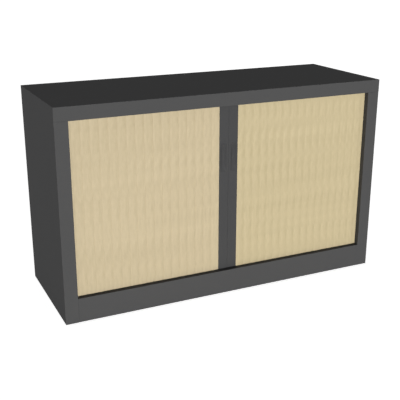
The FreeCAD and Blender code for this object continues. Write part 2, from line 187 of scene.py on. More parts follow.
# ---- node trees ----
class Wire:
    """An output in a node tree. Sums with wires add the nodes that work them out."""

    def __init__(self, wires: "Wiring", socket: NodeSocket) -> None:
        """Stands for a socket of the tree that wires works on."""
        self.wires = wires
        self.socket = socket

    def math(self, operation: str, *others: "Feed") -> "Wire":
        """The result of a math operation on this number and others."""
        feeds = dict(enumerate((self, *others)))
        return self.wires.out("ShaderNodeMath", feeds, operation=operation)

    def __add__(self, other: "Feed") -> "Wire":
        """The sum."""
        return self.math("ADD", other)

    def __sub__(self, other: "Feed") -> "Wire":
        """The difference."""
        return self.math("SUBTRACT", other)

    def __rsub__(self, other: float) -> "Wire":
        """A plain number less this one."""
        return self.math("MULTIPLY_ADD", -1.0, other)

    def __mul__(self, other: "Feed") -> "Wire":
        """The product."""
        return self.math("MULTIPLY", other)

    def __truediv__(self, other: "Feed") -> "Wire":
        """The quotient."""
        return self.math("DIVIDE", other)

    def between(self, low: "Feed", high: "Feed") -> "Wire":
        """The value that lies at this share of the way from low to high."""
        return self * (high - low) + low

    def tint(self, low: "Feed", high: "Feed") -> "Wire":
        """The colour that lies at this share of the way from low to high."""
        feeds = {"Factor_Float": self, "A_Color": low, "B_Color": high}
        return self.wires.out("ShaderNodeMix", feeds, MIXED_COLOUR, data_type="RGBA")

    def noise(self, scale: float, detail: float) -> "Wire":
        """Smooth noise from 0 to 1 at this place, with scale features a metre."""
        feeds = {"Vector": self, "Scale": scale, "Detail": detail}
        return self.wires.out("ShaderNodeTexNoise", feeds)

    def split(self) -> "list[Wire]":
        """The x, y and z of this vector."""
        made = self.wires.node("ShaderNodeSeparateXYZ", {0: self})
        return [Wire(self.wires, socket) for socket in made.outputs[:3]]


Feed = Wire | bpy.types.ID | float | int | bool | str | tuple | list
Feeds = Mapping[str | int, Feed]
Given = Mapping[str, Wire]
Pattern = tuple[Wire, Wire, Wire]  # how dark, how rough and how high a surface is, from 0 to 1


class Wiring:
    """Adds nodes to one node tree and joins their sockets."""

    def __init__(self, tree: NodeTree) -> None:
        """Works on tree."""
        self.tree = tree

    @classmethod
    def inside(cls, owner: Material | World) -> "Wiring":
        """Starts the tree of a material or a world.

        Args:
            owner: The material or the world.

        Returns:
            The wiring of its tree, which is empty.
        """
        owner.use_nodes = True
        owner.node_tree.nodes.clear()
        return cls(owner.node_tree)

    def feed(self, socket: NodeSocket, source: Feed) -> None:
        """Gives an input what it takes.

        Args:
            socket: The input.
            source: A wire or a list of wires to link to it, or else its plain value.
        """
        for each in source if isinstance(source, list) else [source]:
            if isinstance(each, Wire):
                self.tree.links.new(each.socket, socket)
            else:
                socket.default_value = each

    def node(self, kind: str, feeds: Feeds | None = None, **settings: object) -> Node:
        """Adds a node.

        Args:
            kind: Blender's name of the node type.
            feeds: What each input takes, by the input's name, identifier or number.
            **settings: The node's own options, which are set before its inputs.

        Returns:
            The node.
        """
        made = self.tree.nodes.new(kind)
        for option, value in settings.items():
            setattr(made, option, value)
        for key, source in (feeds or {}).items():
            by_identifier = [s for s in made.inputs if s.identifier == key]
            self.feed(by_identifier[0] if by_identifier else made.inputs[key], source)
        return made

    def out(
        self, kind: str, feeds: Feeds | None = None, pick: str | int = 0, **settings: object
    ) -> Wire:
        """Adds a node as node() does, and gives the output that pick names or numbers."""
        return Wire(self, self.node(kind, feeds, **settings).outputs[pick])

    def join(self, x: Feed, y: Feed, z: Feed) -> Wire:
        """A vector of x, y and z."""
        return self.out("ShaderNodeCombineXYZ", {0: x, 1: y, 2: z})

    def attribute(self, name: str) -> Wire:
        """The value of a mesh attribute."""
        return self.out("ShaderNodeAttribute", pick="Fac", attribute_name=name)


def add_sockets(tree: NodeTree, way: str, sockets: Sockets) -> None:
    """Gives a node group its sockets, whose way is INPUT or OUTPUT."""
    for name, kind in sockets.items():
        tree.interface.new_socket(name, in_out=way, socket_type="NodeSocket" + kind)


# ---- skins: the shader groups that the finishes share ----
class ShaderGroup:
    """A group of shader nodes, built once and placed in many materials."""

    name = "group"
    takes: Sockets = {}
    gives: Sockets = {}

    def __init__(self) -> None:
        """Makes the group and its sockets, and lets its own layout fill it."""
        self.tree = bpy.data.node_groups.new(self.name, "ShaderNodeTree")
        add_sockets(self.tree, "INPUT", self.takes)
        add_sockets(self.tree, "OUTPUT", self.gives)
        wires = Wiring(self.tree)
        entry = self.tree.nodes.new("NodeGroupInput").outputs
        given = {name: Wire(wires, entry[name]) for name in self.takes}
        wires.node("NodeGroupOutput", self.layout(wires, given))

    def layout(self, wires: Wiring, given: Given) -> Given:
        """Lays out the group's nodes.

        Args:
            wires: The group's wiring.
            given: The group's inputs, by name.

        Returns:
            What each of its outputs gives, by name.
        """
        raise NotImplementedError

    def placed(self, wires: Wiring, feeds: Feeds) -> Given:
        """Places the group in a material.

        Args:
            wires: The material's wiring.
            feeds: What each of the group's inputs takes, among other things.

        Returns:
            The group's outputs, by name.
        """
        taken = {name: feeds[name] for name in self.takes}
        made = wires.node("ShaderNodeGroup", taken, node_tree=self.tree)
        return {name: Wire(wires, made.outputs[name]) for name in self.gives}


class Layer(NamedTuple):
    """Noise in a skin: its features a metre, its detail, and its shares of the pattern."""

    scale: float
    detail: float
    shares: tuple[float, float, float]  # of how dark, how rough and how high the surface is
    stretch: tuple[float, float, float] = (1.0, 1.0, 1.0)


class Skin(ShaderGroup):
    """A shader group that turns a place on a piece into colour, roughness and height."""

    takes = {
        "place": "Vector",
        "light": "Color",
        "dark": "Color",
        "smooth": "Float",
        "rough": "Float",
        # strength of the painted shade stripe across each slat, read only by the maple foil
        "stripe": "Float",
    }
    gives = {"colour": "Color", "roughness": "Float", "height": "Float"}
    layers: tuple[Layer, ...] = ()

    def layout(self, wires: Wiring, given: Given) -> Given:
        """Moves between the finish's colours and between its roughnesses as the pattern says."""
        tone, gloss, height = self.pattern(wires, given)
        return {
            "colour": tone.tint(given["light"], given["dark"]),
            "roughness": gloss.between(given["smooth"], given["rough"]),
            "height": height,
        }

    def pattern(self, wires: Wiring, given: Given) -> Pattern:
        """Lays out the skin's pattern, which is the sum of its layers.

        Args:
            wires: The group's wiring.
            given: The group's inputs.

        Returns:
            The pattern.
        """
        sums: list[Feed] = [0.0, 0.0, 0.0]
        for layer in self.layers:
            feeds = {"Vector": given["place"], "Scale": layer.stretch}
            noise = wires.out("ShaderNodeMapping", feeds).noise(layer.scale, layer.detail)
            sums = [noise.math("MULTIPLY_ADD", *pair) for pair in zip(layer.shares, sums)]
        return tuple(sums)


class PowderSkin(Skin):
    """Baked powder coat: barely uneven, with grit finer than a millimetre on longer waves."""

    name = "powder coat skin"
    layers = (
        Layer(2.6, 3.0, (0.6, 0.3, 0.0)),
        Layer(210.0, 1.0, (0.0, 0.7, 0.45)),
        Layer(1500.0, 2.0, (0.4, 0.0, 0.55)),
    )


class MouldedSkin(Skin):
    """Moulded or extruded plastic: unevenly glossy, with etched grain half a millimetre across."""

    name = "moulded plastic skin"
    layers = (Layer(14.0, 2.0, (0.65, 1.0, 0.0)), Layer(2100.0, 1.0, (0.35, 0.0, 1.0)))


class RailSkin(Skin):
    """Extruded and lacquered rail: faint lines along Z from the die."""

    name = "extruded rail skin"
    layers = (
        Layer(900.0, 3.0, (0.4, 1.0, 1.0), stretch=(1.0, 1.0, 0.01)),
        Layer(6.0, 2.0, (0.6, 0.0, 0.0)),
    )


class ZincSkin(Skin):
    """Zinc plated steel: cloudy crystals, and fine scratches along X."""

    name = "zinc plate skin"
    layers = (
        Layer(190.0, 3.0, (1.0, 0.6, 0.0)),
        Layer(2600.0, 2.0, (0.0, 0.4, 1.0), stretch=(0.06, 1.0, 1.0)),
    )


class GrainSkin(Skin):
    """Light maple foil: nearly the same print on each slat, with painted shade darker near its right edge."""

    name = "maple foil skin"
    SWAY = (16.0, 2.0)  # scale and detail of the noise
    FLAME = (85.0, 3.0)
    STREAK = (430.0, 4.0)
    PORES = (1300.0, 1.0)
    FLAME_STRETCH = 0.34  # how fast a pattern changes up the slat, for 1 across it
    STREAK_STRETCH = 0.02
    PORE_STRETCH = 0.04
    PITCH = 30.0 * MM  # width of the print
    SWAY_REACH = 8.0 * MM  # how far the figure and the painted shade stripes wander sideways
    SWAY_MIDDLE = 4.8 * MM
    PIN_LEAD = 0.17  # how far the narrow painted shade stripes are turned from the broad one, in radians
    PIN_SHARE = 0.038
    STREAK_SHARE = 0.45
    PORE_SHARE = 0.5
    PALENESS = 0.475  # taken off the sum, so that much of the foil is at its lightest

    def pattern(self, wires: Wiring, given: Given) -> Pattern:
        """Lays out a broad and two narrow stripes of painted shade a slat, wandering flames, streaks and pores.

        Args:
            wires: The group's wiring.
            given: The group's inputs. Its stripe input says how bold the broad stripe of painted shade is.

        Returns:
            The pattern.
        """
        x, _, z = given["place"].split()
        shift = wires.attribute(FIGURE_SHIFT)
        sway = wires.join(shift, 0.0, z).noise(*self.SWAY) * self.SWAY_REACH - self.SWAY_MIDDLE
        bent = wires.attribute(SLAT_PLACE) + sway
        turn = bent * (2 * math.pi / self.PITCH)
        # broad painted shade: each slat darker towards its right edge, as if rounded and lit from the left
        stripe = turn.math("SINE") * given["stripe"]
        # narrow painted shade at half the pitch, as of two shallow ribs on each slat
        shade_pinstripe = (turn * 2.0 - self.PIN_LEAD).math("COSINE") * self.PIN_SHARE
        flame = wires.join(bent, shift, z * self.FLAME_STRETCH).noise(*self.FLAME)
        streak = wires.join(x, 0.0, z * self.STREAK_STRETCH).noise(*self.STREAK)
        pores = wires.join(x, 0.0, z * self.PORE_STRETCH).noise(*self.PORES)
        lines = streak * self.STREAK_SHARE + pores * self.PORE_SHARE
        tone = flame - stripe - shade_pinstripe + lines - self.PALENESS
        fine = (streak + pores) * 0.5
        return tone.math("MAXIMUM", 0.0), fine, fine


class EdgeWear(ShaderGroup):
    """A shader group that rubs the finish off the rounded edges in patches."""

    name = "edge wear"
    takes = {
        "place": "Vector",
        "colour": "Color",
        "roughness": "Float",
        "worn": "Color",
        "worn_roughness": "Float",
        "wear": "Float",
    }
    gives = {"colour": "Color", "roughness": "Float"}
    PATCHES = (38.0, 3.0)  # scale and detail of the noise
    UNWORN = 0.42  # up to this level of the noise nothing is worn
    BARE = 0.68  # from this level all is worn

    def layout(self, wires: Wiring, given: Given) -> Given:
        """Shows the worn colour in patches of the edges that WORN_EDGE marks.

        Args:
            wires: The group's wiring.
            given: The group's inputs, by name.

        Returns:
            The colour and the roughness, worn in patches.
        """
        noise = given["place"].noise(*self.PATCHES)
        patches = wires.out(
            "ShaderNodeMapRange",
            {"Value": noise, "From Min": self.UNWORN, "From Max": self.BARE},
            interpolation_type="SMOOTHSTEP",
        )
        rubbed = wires.attribute(WORN_EDGE) * patches * given["wear"]
        return {
            "colour": rubbed.tint(given["colour"], given["worn"]),
            "roughness": rubbed.between(given["roughness"], given["worn_roughness"]),
        }


@dataclass(frozen=True)
class Finish:
    """One finish: a skin, the colours and roughness that it moves between, and its gloss."""

    name: str
    skin: type[Skin]
    light: Colour
    dark: Colour
    smooth: float
    rough: float
    specular: float = 0.1
    relief: float = 0.03 * MM
    relief_share: float = 0.3
    metallic: float = 0.0
    worn: Colour = (0.2, 0.2, 0.2, 1.0)
    worn_roughness: float = 0.4
    wear: float = 0.0
    # how bold the painted shade stripe across each slat is
    stripe: float = 0.0

    def material(self, skin: Skin, wear: EdgeWear) -> Material:
        """Builds the finish as a material.

        Args:
            skin: The built group of this finish's skin.
            wear: The group that all finishes share.

        Returns:
            The material.
        """
        made = bpy.data.materials.new(self.name)
        wires = Wiring.inside(made)
        feeds = {**vars(self), "place": wires.out("ShaderNodeTexCoord", pick="Object")}
        coat = skin.placed(wires, feeds)
        rubbed = wear.placed(wires, {**feeds, **coat})
        relief = {
            "Strength": self.relief_share,
            "Distance": self.relief,
            "Height": coat["height"],
        }
        shader = wires.out(
            "ShaderNodeBsdfPrincipled",
            {
                "Base Color": rubbed["colour"],
                "Roughness": rubbed["roughness"],
                "Metallic": self.metallic,
                "Specular IOR Level": self.specular,
                "Normal": wires.out("ShaderNodeBump", relief),
            },
        )
        wires.node("ShaderNodeOutputMaterial", {"Surface": shader})
        return made


def grey(level: float, blue: float = 0.001) -> Colour:
    """A grey with that much more blue in it."""
    return level, level, level + blue, 1.0


BLACK_PLASTIC = Finish(
    "black track plastic", MouldedSkin, light=grey(0.026), dark=grey(0.018), smooth=0.42, rough=0.6
)
MAPLE = Finish(
    "maple foil, left door", GrainSkin,
    light=(0.667, 0.56, 0.372, 1.0), dark=(0.52, 0.432, 0.274, 1.0), smooth=0.42, rough=0.56,
    specular=0.15, relief=0.04 * MM, relief_share=0.4, stripe=0.03,
)
ZINC = Finish(
    "zinc plated feet", ZincSkin,
    light=(0.55, 0.56, 0.58, 1.0), dark=(0.4, 0.41, 0.43, 1.0), smooth=0.3, rough=0.5,
    specular=0.5, relief=0.02 * MM, metallic=1.0,
)
FOOT_PADS = replace(
    BLACK_PLASTIC, name="black foot pads",
    light=grey(0.028, 0.0), dark=grey(0.018, 0.0), smooth=0.45,
    specular=0.3, relief=0.04 * MM, relief_share=0.4,
)
FINISHES = {
    Slot.PAINT: Finish(
        "anthracite powder coat", PowderSkin,
        light=grey(0.092, 0.0005), dark=grey(0.0835, 0.0005), smooth=0.62, rough=0.78,
        specular=0.0, relief=0.05 * MM, relief_share=0.4,
        worn=grey(0.125, 0.002), worn_roughness=0.5, wear=0.55,
    ),
    Slot.RAIL: Finish(
        "anthracite lead rails", RailSkin,
        light=grey(0.067), dark=grey(0.059), smooth=0.45, rough=0.6,
        worn=grey(0.11, 0.002), worn_roughness=0.35, wear=0.4,
    ),
    Slot.GRIP: Finish(
        "graphite finger cups", MouldedSkin,
        light=grey(0.063), dark=grey(0.0545), smooth=0.5, rough=0.65,
        relief=0.05 * MM, relief_share=0.4,
    ),
    Slot.GUIDE: replace(
        BLACK_PLASTIC, name="black nylon guides",
        light=grey(0.036), dark=grey(0.024), smooth=0.35, rough=0.5, specular=0.4,
    ),
    Slot.TRACK: BLACK_PLASTIC,
    Slot.CLIP: replace(
        ZINC, name="zinc plated clips",
        light=(0.62, 0.64, 0.67, 1.0), dark=(0.48, 0.5, 0.53, 1.0), smooth=0.28, rough=0.46,
    ),
    Slot.SCREW: replace(
        ZINC, name="zinc plated screws",
        light=(0.6, 0.6, 0.62, 1.0), dark=(0.45, 0.45, 0.47, 1.0), smooth=0.25, rough=0.4,
    ),
    Slot.FOOT: ZINC,
}
# The two doors' foil differs a little in colour and in where a slat's print and painted shade start.
MAPLE_BY_DOOR = {
    Side.LEFT: MAPLE,
    # The painted shade stripe is bolder on this door, whose laps show less real shade.
    Side.RIGHT: replace(
        MAPLE, name="maple foil, right door",
        light=(0.645, 0.544, 0.341, 1.0), dark=(0.502, 0.419, 0.249, 1.0), stripe=0.104,
    ),
}
PRINT_AND_SHADE_STARTS = {Side.LEFT: 0.2 * MM, Side.RIGHT: 2.2 * MM}


class Wardrobe:
    """Every material of the cabinet, with the shader groups that they share built once."""

    def __init__(self) -> None:
        """Builds the groups and the materials."""
        self._wear = EdgeWear()
        self._skins: dict[type[Skin], Skin] = {}
        self._by_slot = {slot: self._dress(finish) for slot, finish in FINISHES.items()}
        self.maple = {side: self._dress(finish) for side, finish in MAPLE_BY_DOOR.items()}
        self.foot_pad = self._dress(FOOT_PADS)

    def _dress(self, finish: Finish) -> Material:
        """Builds a material, and the skin of its finish when that is first needed.

        Args:
            finish: The finish.

        Returns:
            Its material.
        """
        if finish.skin not in self._skins:
            self._skins[finish.skin] = finish.skin()
        return finish.material(self._skins[finish.skin], self._wear)

    def __getitem__(self, slot: Slot) -> Material:
        """The material of a slot."""
        return self._by_slot[slot]


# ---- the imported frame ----
class Frame:
    """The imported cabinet: its nodes, their boxes, and the bodies that they ride on."""

    def __init__(self) -> None:
        """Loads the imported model."""
        self._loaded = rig.load()
        self.cad_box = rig.bounds()

    @property
    def node_names(self) -> list[str]:
        """The names of all nodes, in order."""
        return sorted(self._loaded["nodes"])

    def mesh(self, node: str) -> Mesh:
        """The mesh of a node."""
        return self._loaded["nodes"][node].data

    def span(self, node: str) -> tuple[Vector, Vector]:
        """The lowest and the highest corner of a node."""
        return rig.box(node)

    def publish(self, piece: Object, slot: Slot, node: str) -> None:
        """Puts a finished piece on the body of the node that it stands for.

        Args:
            piece: The piece, in its place.
            slot: The material slot that it takes its finish from.
            node: The node that it replaces.
        """
        body = self._loaded["nodes"][node]["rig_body"]
        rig.ride(piece, body)
        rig.replaces(piece, node)
        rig.slot(piece, slot.value)
        LOG.info("%s rides on %s, %d faces", piece.name, body, len(piece.data.polygons))

    def write_sizes(self, path: str) -> None:
        """Writes the frame's box and the finished cabinet's box.

        Args:
            path: The file that they go to.
        """
        boxes = {"cad": self.cad_box, "visual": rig.bounds()}
        lists = {name: [list(corner) for corner in box] for name, box in boxes.items()}
        with open(path, "w") as file:
            json.dump(lists, file)


# ---- mesh tools ----
def new_piece(name: str, shape: Mesh | BMesh) -> Object:
    """Puts a new object into the scene.

    Args:
        name: Its name.
        shape: Its mesh, or a bmesh, which is freed.

    Returns:
        The object.
    """
    mesh = shape
    if isinstance(shape, BMesh):
        mesh = bpy.data.meshes.new(name)
        shape.to_mesh(mesh)
        shape.free()
    piece = bpy.data.objects.new(name, mesh)
    bpy.context.scene.collection.objects.link(piece)
    return piece


def freeze(piece: Object) -> None:
    """Turns the modifiers of a piece into plain mesh.

    Args:
        piece: The piece, which has none afterwards.
    """
    scene_state = bpy.context.evaluated_depsgraph_get()
    mesh = bpy.data.meshes.new_from_object(
        piece.evaluated_get(scene_state), preserve_all_data_layers=True, depsgraph=scene_state
    )
    mesh.name = piece.name
    piece.modifiers.clear()
    piece.data = mesh


def face_outwards(mesh: Mesh) -> None:
    """Turns every closed shell of a mesh so that it faces outwards.

    Args:
        mesh: The mesh, whose doubled points are merged.
    """
    shape = bmesh.new()
    shape.from_mesh(mesh)
    bmesh.ops.remove_doubles(shape, verts=shape.verts, dist=MERGE)
    bmesh.ops.recalc_face_normals(shape, faces=shape.faces)
    shape.to_mesh(mesh)
    shape.free()


def shade(mesh: Mesh, sharp_degrees: float) -> None:
    """Shades mesh smooth, apart from edges that turn by more than sharp_degrees."""
    mesh.shade_smooth()
    mesh.set_sharp_from_angle(angle=math.radians(sharp_degrees))


def level_normals(mesh: Mesh, reach_degrees: float = 40.0) -> None:
    """Keeps the flats of mesh flat up to their edges, so that only its roundings look round.

    Args:
        mesh: The mesh.
        reach_degrees: Faces that turn away from each other by more than this are not blended.
    """
    reach = math.cos(math.radians(reach_degrees))
    pulls: dict[int, list[tuple[Vector, float]]] = defaultdict(list)
    for face in mesh.polygons:
        for corner in face.vertices:
            pulls[corner].append((face.normal.copy(), face.area))
    normals = []
    for face in mesh.polygons:
        own = face.normal.copy()
        for corner in face.vertices:
            near = [way * area for way, area in pulls[corner] if own.dot(way) > reach]
            normals.append(sum(near, Vector()).normalized() if near else own)
    mesh.shade_smooth()
    mesh.normals_split_custom_set(normals)


def polyline(points: Sequence[Vector], closed: bool = False) -> Mesh:
    """Joins points by edges.

    Args:
        points: The points in order.
        closed: Whether the last point is joined to the first.

    Returns:
        A mesh of the edges.
    """
    mesh = bpy.data.meshes.new("line")
    count = len(points)
    edges = [(i, (i + 1) % count) for i in range(count if closed else count - 1)]
    mesh.from_pydata([tuple(p) for p in points], edges, [])
    return mesh


def rounded_ring(half_x: float, half_z: float, radius: float, centre: Vector) -> list[Vector]:
    """A rounded rectangle across Y.

    Args:
        half_x: Half its width.
        half_z: Half its height.
        radius: Radius of its corners.
        centre: Its middle.

    Returns:
        Its points in order.
    """
    steps = 6
    points = []
    for corner, (sign_x, sign_z) in enumerate(((1, 1), (-1, 1), (-1, -1), (1, -1))):
        for step in range(steps + 1):
            angle = math.pi / 2 * (corner + step / steps)
            x = sign_x * (half_x - radius) + radius * math.cos(angle)
            z = sign_z * (half_z - radius) + radius * math.sin(angle)
            points.append(centre + Vector((x, 0.0, z)))
    return points


def circle_ring(radius: float, height: float, steps: int, centre: Vector) -> list[Vector]:
    """A circle round the upright axis through centre, at a height."""
    turns = [2 * math.pi * i / steps for i in range(steps)]
    return [centre + Vector((radius * math.cos(a), radius * math.sin(a), height)) for a in turns]


def add_skin(shape: BMesh, rings: Sequence[Sequence[Vector]], material_index: int = 0) -> BMesh:
    """Adds a closed skin over rings, capped at both ends.

    Args:
        shape: What it is added to.
        rings: The rings in order, all with the same number of points.
        material_index: The material slot of its faces.

    Returns:
        The shape.
    """
    rows = [[shape.verts.new(point) for point in ring] for ring in rings]
    count = len(rows[0])
    quads = [
        (near[i], near[(i + 1) % count], far[(i + 1) % count], far[i])
        for near, far in zip(rows, rows[1:])
        for i in range(count)
    ]
    faces = [shape.faces.new(corners) for corners in (*quads, rows[0], rows[-1])]
    bmesh.ops.recalc_face_normals(shape, faces=faces)
    for face in faces:
        face.material_index = material_index
    return shape


def add_block(shape: BMesh, middle: Sequence[float], size: Sequence[float]) -> None:
    """Adds a cuboid to shape."""
    place = Matrix.Translation(middle) @ Matrix.Diagonal((*size, 1.0))
    bmesh.ops.create_cube(shape, size=1.0, matrix=place)


@dataclass(frozen=True)
class EdgeRounding:
    """How far the edges of a folded sheet are rounded. Every size is in metres."""

    fold: float = 0.9 * MM
    inner_fold: float = 0.2 * MM
    cut: float = 0.08 * MM
    flat: float = 1.6 * MM  # a face that reaches this far from an edge is a flat, not a cut end
    least_turn: float = math.radians(25)
    level_turn: float = math.radians(0.5)  # triangles that turn by less than this become one face
    steps: int = 3

    def radius(self, edge: BMEdge) -> float:
        """Tells whether an edge is a fold, a cut or neither.

        Args:
            edge: An edge of a merged sheet.

        Returns:
            How far it is rounded.
        """
        if len(edge.link_loops) != 2 or abs(edge.calc_face_angle(0.0)) < self.least_turn:
            return 0.0
        if not all(self._is_flat_beside(loop) for loop in edge.link_loops):
            return self.cut
        return self.fold if edge.is_convex else self.inner_fold

    def _is_flat_beside(self, loop: BMLoop) -> bool:
        """Tells whether a face beside an edge is a flat.

        Args:
            loop: The edge, as a side of the face.

        Returns:
            Whether the face reaches far enough inwards from it.
        """
        start = loop.vert.co
        end = loop.link_loop_next.vert.co
        inwards = loop.face.normal.cross(end - start).normalized()
        probe = (start + end) / 2 + inwards * self.flat
        return bool(bmesh.geometry.intersect_face_point(loop.face, probe))

    def copy_of(self, mesh: Mesh, name: str, material: Material) -> Object:
        """Makes a copy of a node's mesh with its triangles merged and its edges rounded.

        Args:
            mesh: The node's mesh.
            name: The copy's name.
            material: Its material.

        Returns:
            The copy, with the rounded edges marked as WORN_EDGE.
        """
        shape = bmesh.new()
        shape.from_mesh(mesh)
        bmesh.ops.remove_doubles(shape, verts=shape.verts, dist=MERGE)
        bmesh.ops.dissolve_limit(
            shape, angle_limit=self.level_turn, verts=shape.verts, edges=shape.edges
        )
        weight = shape.edges.layers.float.new("bevel_weight_edge")
        for edge in shape.edges:
            edge[weight] = self.radius(edge) / self.fold
        piece = new_piece(name, shape)
        piece.data.materials.clear()
        for _ in range(2):  # the second slot only marks the rounded edges
            piece.data.materials.append(material)
        bevel = piece.modifiers.new("rounded edges", "BEVEL")
        bevel.limit_method = "WEIGHT"
        bevel.width = self.fold
        bevel.segments = self.steps
        bevel.material = 1
        bevel.use_clamp_overlap = False
        freeze(piece)
        level_normals(piece.data)
        self._mark_worn_edges(piece.data)
        return piece

    def _mark_worn_edges(self, mesh: Mesh) -> None:
        """Turns the second material slot of a mesh into the WORN_EDGE attribute.

        Args:
            mesh: The mesh, which keeps its first slot.
        """
        mark = mesh.attributes.new(WORN_EDGE, "FLOAT", "CORNER")
        for face in mesh.polygons:
            for corner in face.loop_indices:
                mark.data[corner].value = float(face.material_index)
            face.material_index = 0
        mesh.materials.pop()


# ---- geometry node recipes ----
class Recipe:
    """A Geometry Nodes tree with named inputs, and the way to turn it into plain meshes."""

    name = "recipe"

    def __init__(self) -> None:
        """Starts the tree and lets the recipe's own layout fill it."""
        self.tree = bpy.data.node_groups.new(self.name, "GeometryNodeTree")
        self.wires = Wiring(self.tree)
        for way in ("INPUT", "OUTPUT"):
            add_sockets(self.tree, way, {"Geometry": "Geometry"})
        self._entry = self.tree.nodes.new("NodeGroupInput").outputs
        self.base = Wire(self.wires, self._entry["Geometry"])  # of the piece that it is put on
        real = self.geo("RealizeInstances", {"Geometry": self.layout()})
        material = self.input("material", "Material")
        dressed = self.geo("SetMaterial", {"Geometry": real, "Material": material})
        self.wires.node("NodeGroupOutput", {"Geometry": dressed})

    def layout(self) -> Wire:
        """Lays out the recipe's own nodes and returns their geometry."""
        raise NotImplementedError

    def geo(self, kind: str, *feeds: Feeds | str, **settings: object) -> Wire:
        """Adds a geometry node as Wiring.out() does, with the short name of its type."""
        return self.wires.out("GeometryNode" + kind, *feeds, **settings)

    def input(self, name: str, kind: str = "Float") -> Wire:
        """Adds an input of that name and type to the tree."""
        add_sockets(self.tree, "INPUT", {name: kind})
        return Wire(self.wires, self._entry[name])

    def inputs(self, *names: str) -> list[Wire]:
        """Adds an input for a number for each name."""
        return [self.input(name) for name in names]

    def part(self, name: str) -> Wire:
        """Adds an input that takes an object, and gives the object's geometry."""
        return self.geo("ObjectInfo", {"Object": self.input(name, "Object")}, "Geometry")

    def mark(self, geometry: Wire, name: str, value: Wire) -> Wire:
        """The geometry with value stored on its points as a named attribute."""
        feeds = {"Geometry": geometry, "Name": name, "Value": value}
        return self.geo("StoreNamedAttribute", feeds, data_type="FLOAT", domain="POINT")

    def sweep(self, line: Wire, section: Wire) -> Wire:
        """A closed bar of a section along a line."""
        return self.geo(
            "CurveToMesh", {"Curve": line, "Profile Curve": section, "Fill Caps": True}
        )

    def round_corners(self, curve: Wire, radius: Wire, steps: int) -> Wire:
        """A curve whose corners are arcs of so many steps."""
        feeds = {"Curve": curve, "Radius": radius, "Count": steps, "Limit Radius": True}
        return self.geo("FilletCurve", feeds, mode="POLY")

    def stand(self, curve: Wire) -> Wire:
        """A curve on which sections stand upright."""
        return self.geo("SetCurveNormal", {"Curve": curve}, mode="Z_UP")

    def path(self, radius: Wire, steps: int) -> Wire:
        """The edges of the base as an upright curve with rounded corners."""
        curve = self.geo("MeshToCurve", {"Mesh": self.base})
        return self.stand(self.round_corners(curve, radius, steps))

    def make(
        self,
        name: str,
        values: Mapping[str, object],
        base: Mesh | None = None,
        sharp_degrees: float = 40.0,
    ) -> Object:
        """Makes one piece of plain mesh.

        Args:
            name: The piece's name.
            values: The value of each named input, among other things.
            base: The mesh that the recipe starts from, if it does.
            sharp_degrees: Edges that turn by more than this stay sharp.

        Returns:
            The piece.
        """
        piece = new_piece(name, base or bpy.data.meshes.new(name))
        modifier = piece.modifiers.new(self.name, "NODES")
        modifier.node_group = self.tree
        for item in self.tree.interface.items_tree:
            if item.name != "Geometry":
                modifier[item.identifier] = values[item.name]
        freeze(piece)
        face_outwards(piece.data)
        level_normals(piece.data, sharp_degrees)
        return piece


class SlatRecipe(Recipe):
    """One hollow-backed slat of a door: a ribbed face that leans under its neighbour's lap."""

    name = "tambour slat"
    SOFTENING = 0.002  # rounds off the valley between two ribs

    def layout(self) -> Wire:
        """Shapes a circle of points into the section of the slat and draws it up the door.

        Returns:
            The slat, with its place and its figure shift stored on its points.
        """
        side, inner, width, pitch = self.inputs("side", "inner", "width", "pitch")
        skin, lean, rise, ribs = self.inputs("skin", "lean", "rib_rise", "ribs")
        face, bottom, top = self.inputs("face", "bottom", "top")
        shift, print_start = self.inputs("figure_shift", "print_start")
        circle = self.geo(
            "CurvePrimitiveCircle",
            {"Resolution": self.input("outline_points", "Int"), "Radius": 1.0},
            mode="RADIUS",
        )
        x, y, _ = self.geo("InputPosition").split()
        half = width * 0.5
        nose = skin * 0.5
        from_inner = (x + 1.0) * half
        past_flat = x.math("ABSOLUTE") * half - (half - nose)
        round_off = past_flat.math("MAXIMUM", 0.0) / nose
        fullness = (1.0 - round_off * round_off).math("MAXIMUM", 0.0).math("SQRT")
        wave = (from_inner / pitch * ribs * math.pi).math("SINE")
        soft_wave = (wave * wave + self.SOFTENING).math("SQRT")
        on_face = y.math("LESS_THAN", 0.0) * from_inner.math("LESS_THAN", pitch)
        rib = soft_wave * rise * (on_face * fullness)
        leaning = lean * (1.0 - from_inner / pitch)
        across = y.math("SIGN") * fullness * nose
        depth = face + nose + (leaning + across)
        place = self.wires.join((inner + from_inner) * side, depth - rib, 0.0)
        from_left = side * from_inner + (1.0 - side) * (pitch * 0.5)
        placed = self.mark(circle, SLAT_PLACE, from_left - print_start)
        section = self.geo("SetPosition", {"Geometry": placed, "Position": place})
        ends = [self.wires.join(0.0, 0.0, height) for height in (bottom, top)]
        line = self.geo("CurvePrimitiveLine", {"Start": ends[0], "End": ends[1]})
        return self.mark(self.sweep(line, section), FIGURE_SHIFT, shift)


class TrackRecipe(Recipe):
    """A track or a strip: one section drawn along a line with rounded corners."""

    name = "grooved track"
    CORNER_STEPS = 14

    def layout(self) -> Wire:
        """Rounds the line's corners and draws the section along it."""
        loop = self.geo("MeshToCurve", {"Mesh": self.part("section")})
        return self.sweep(self.path(self.input("corner"), self.CORNER_STEPS), loop)


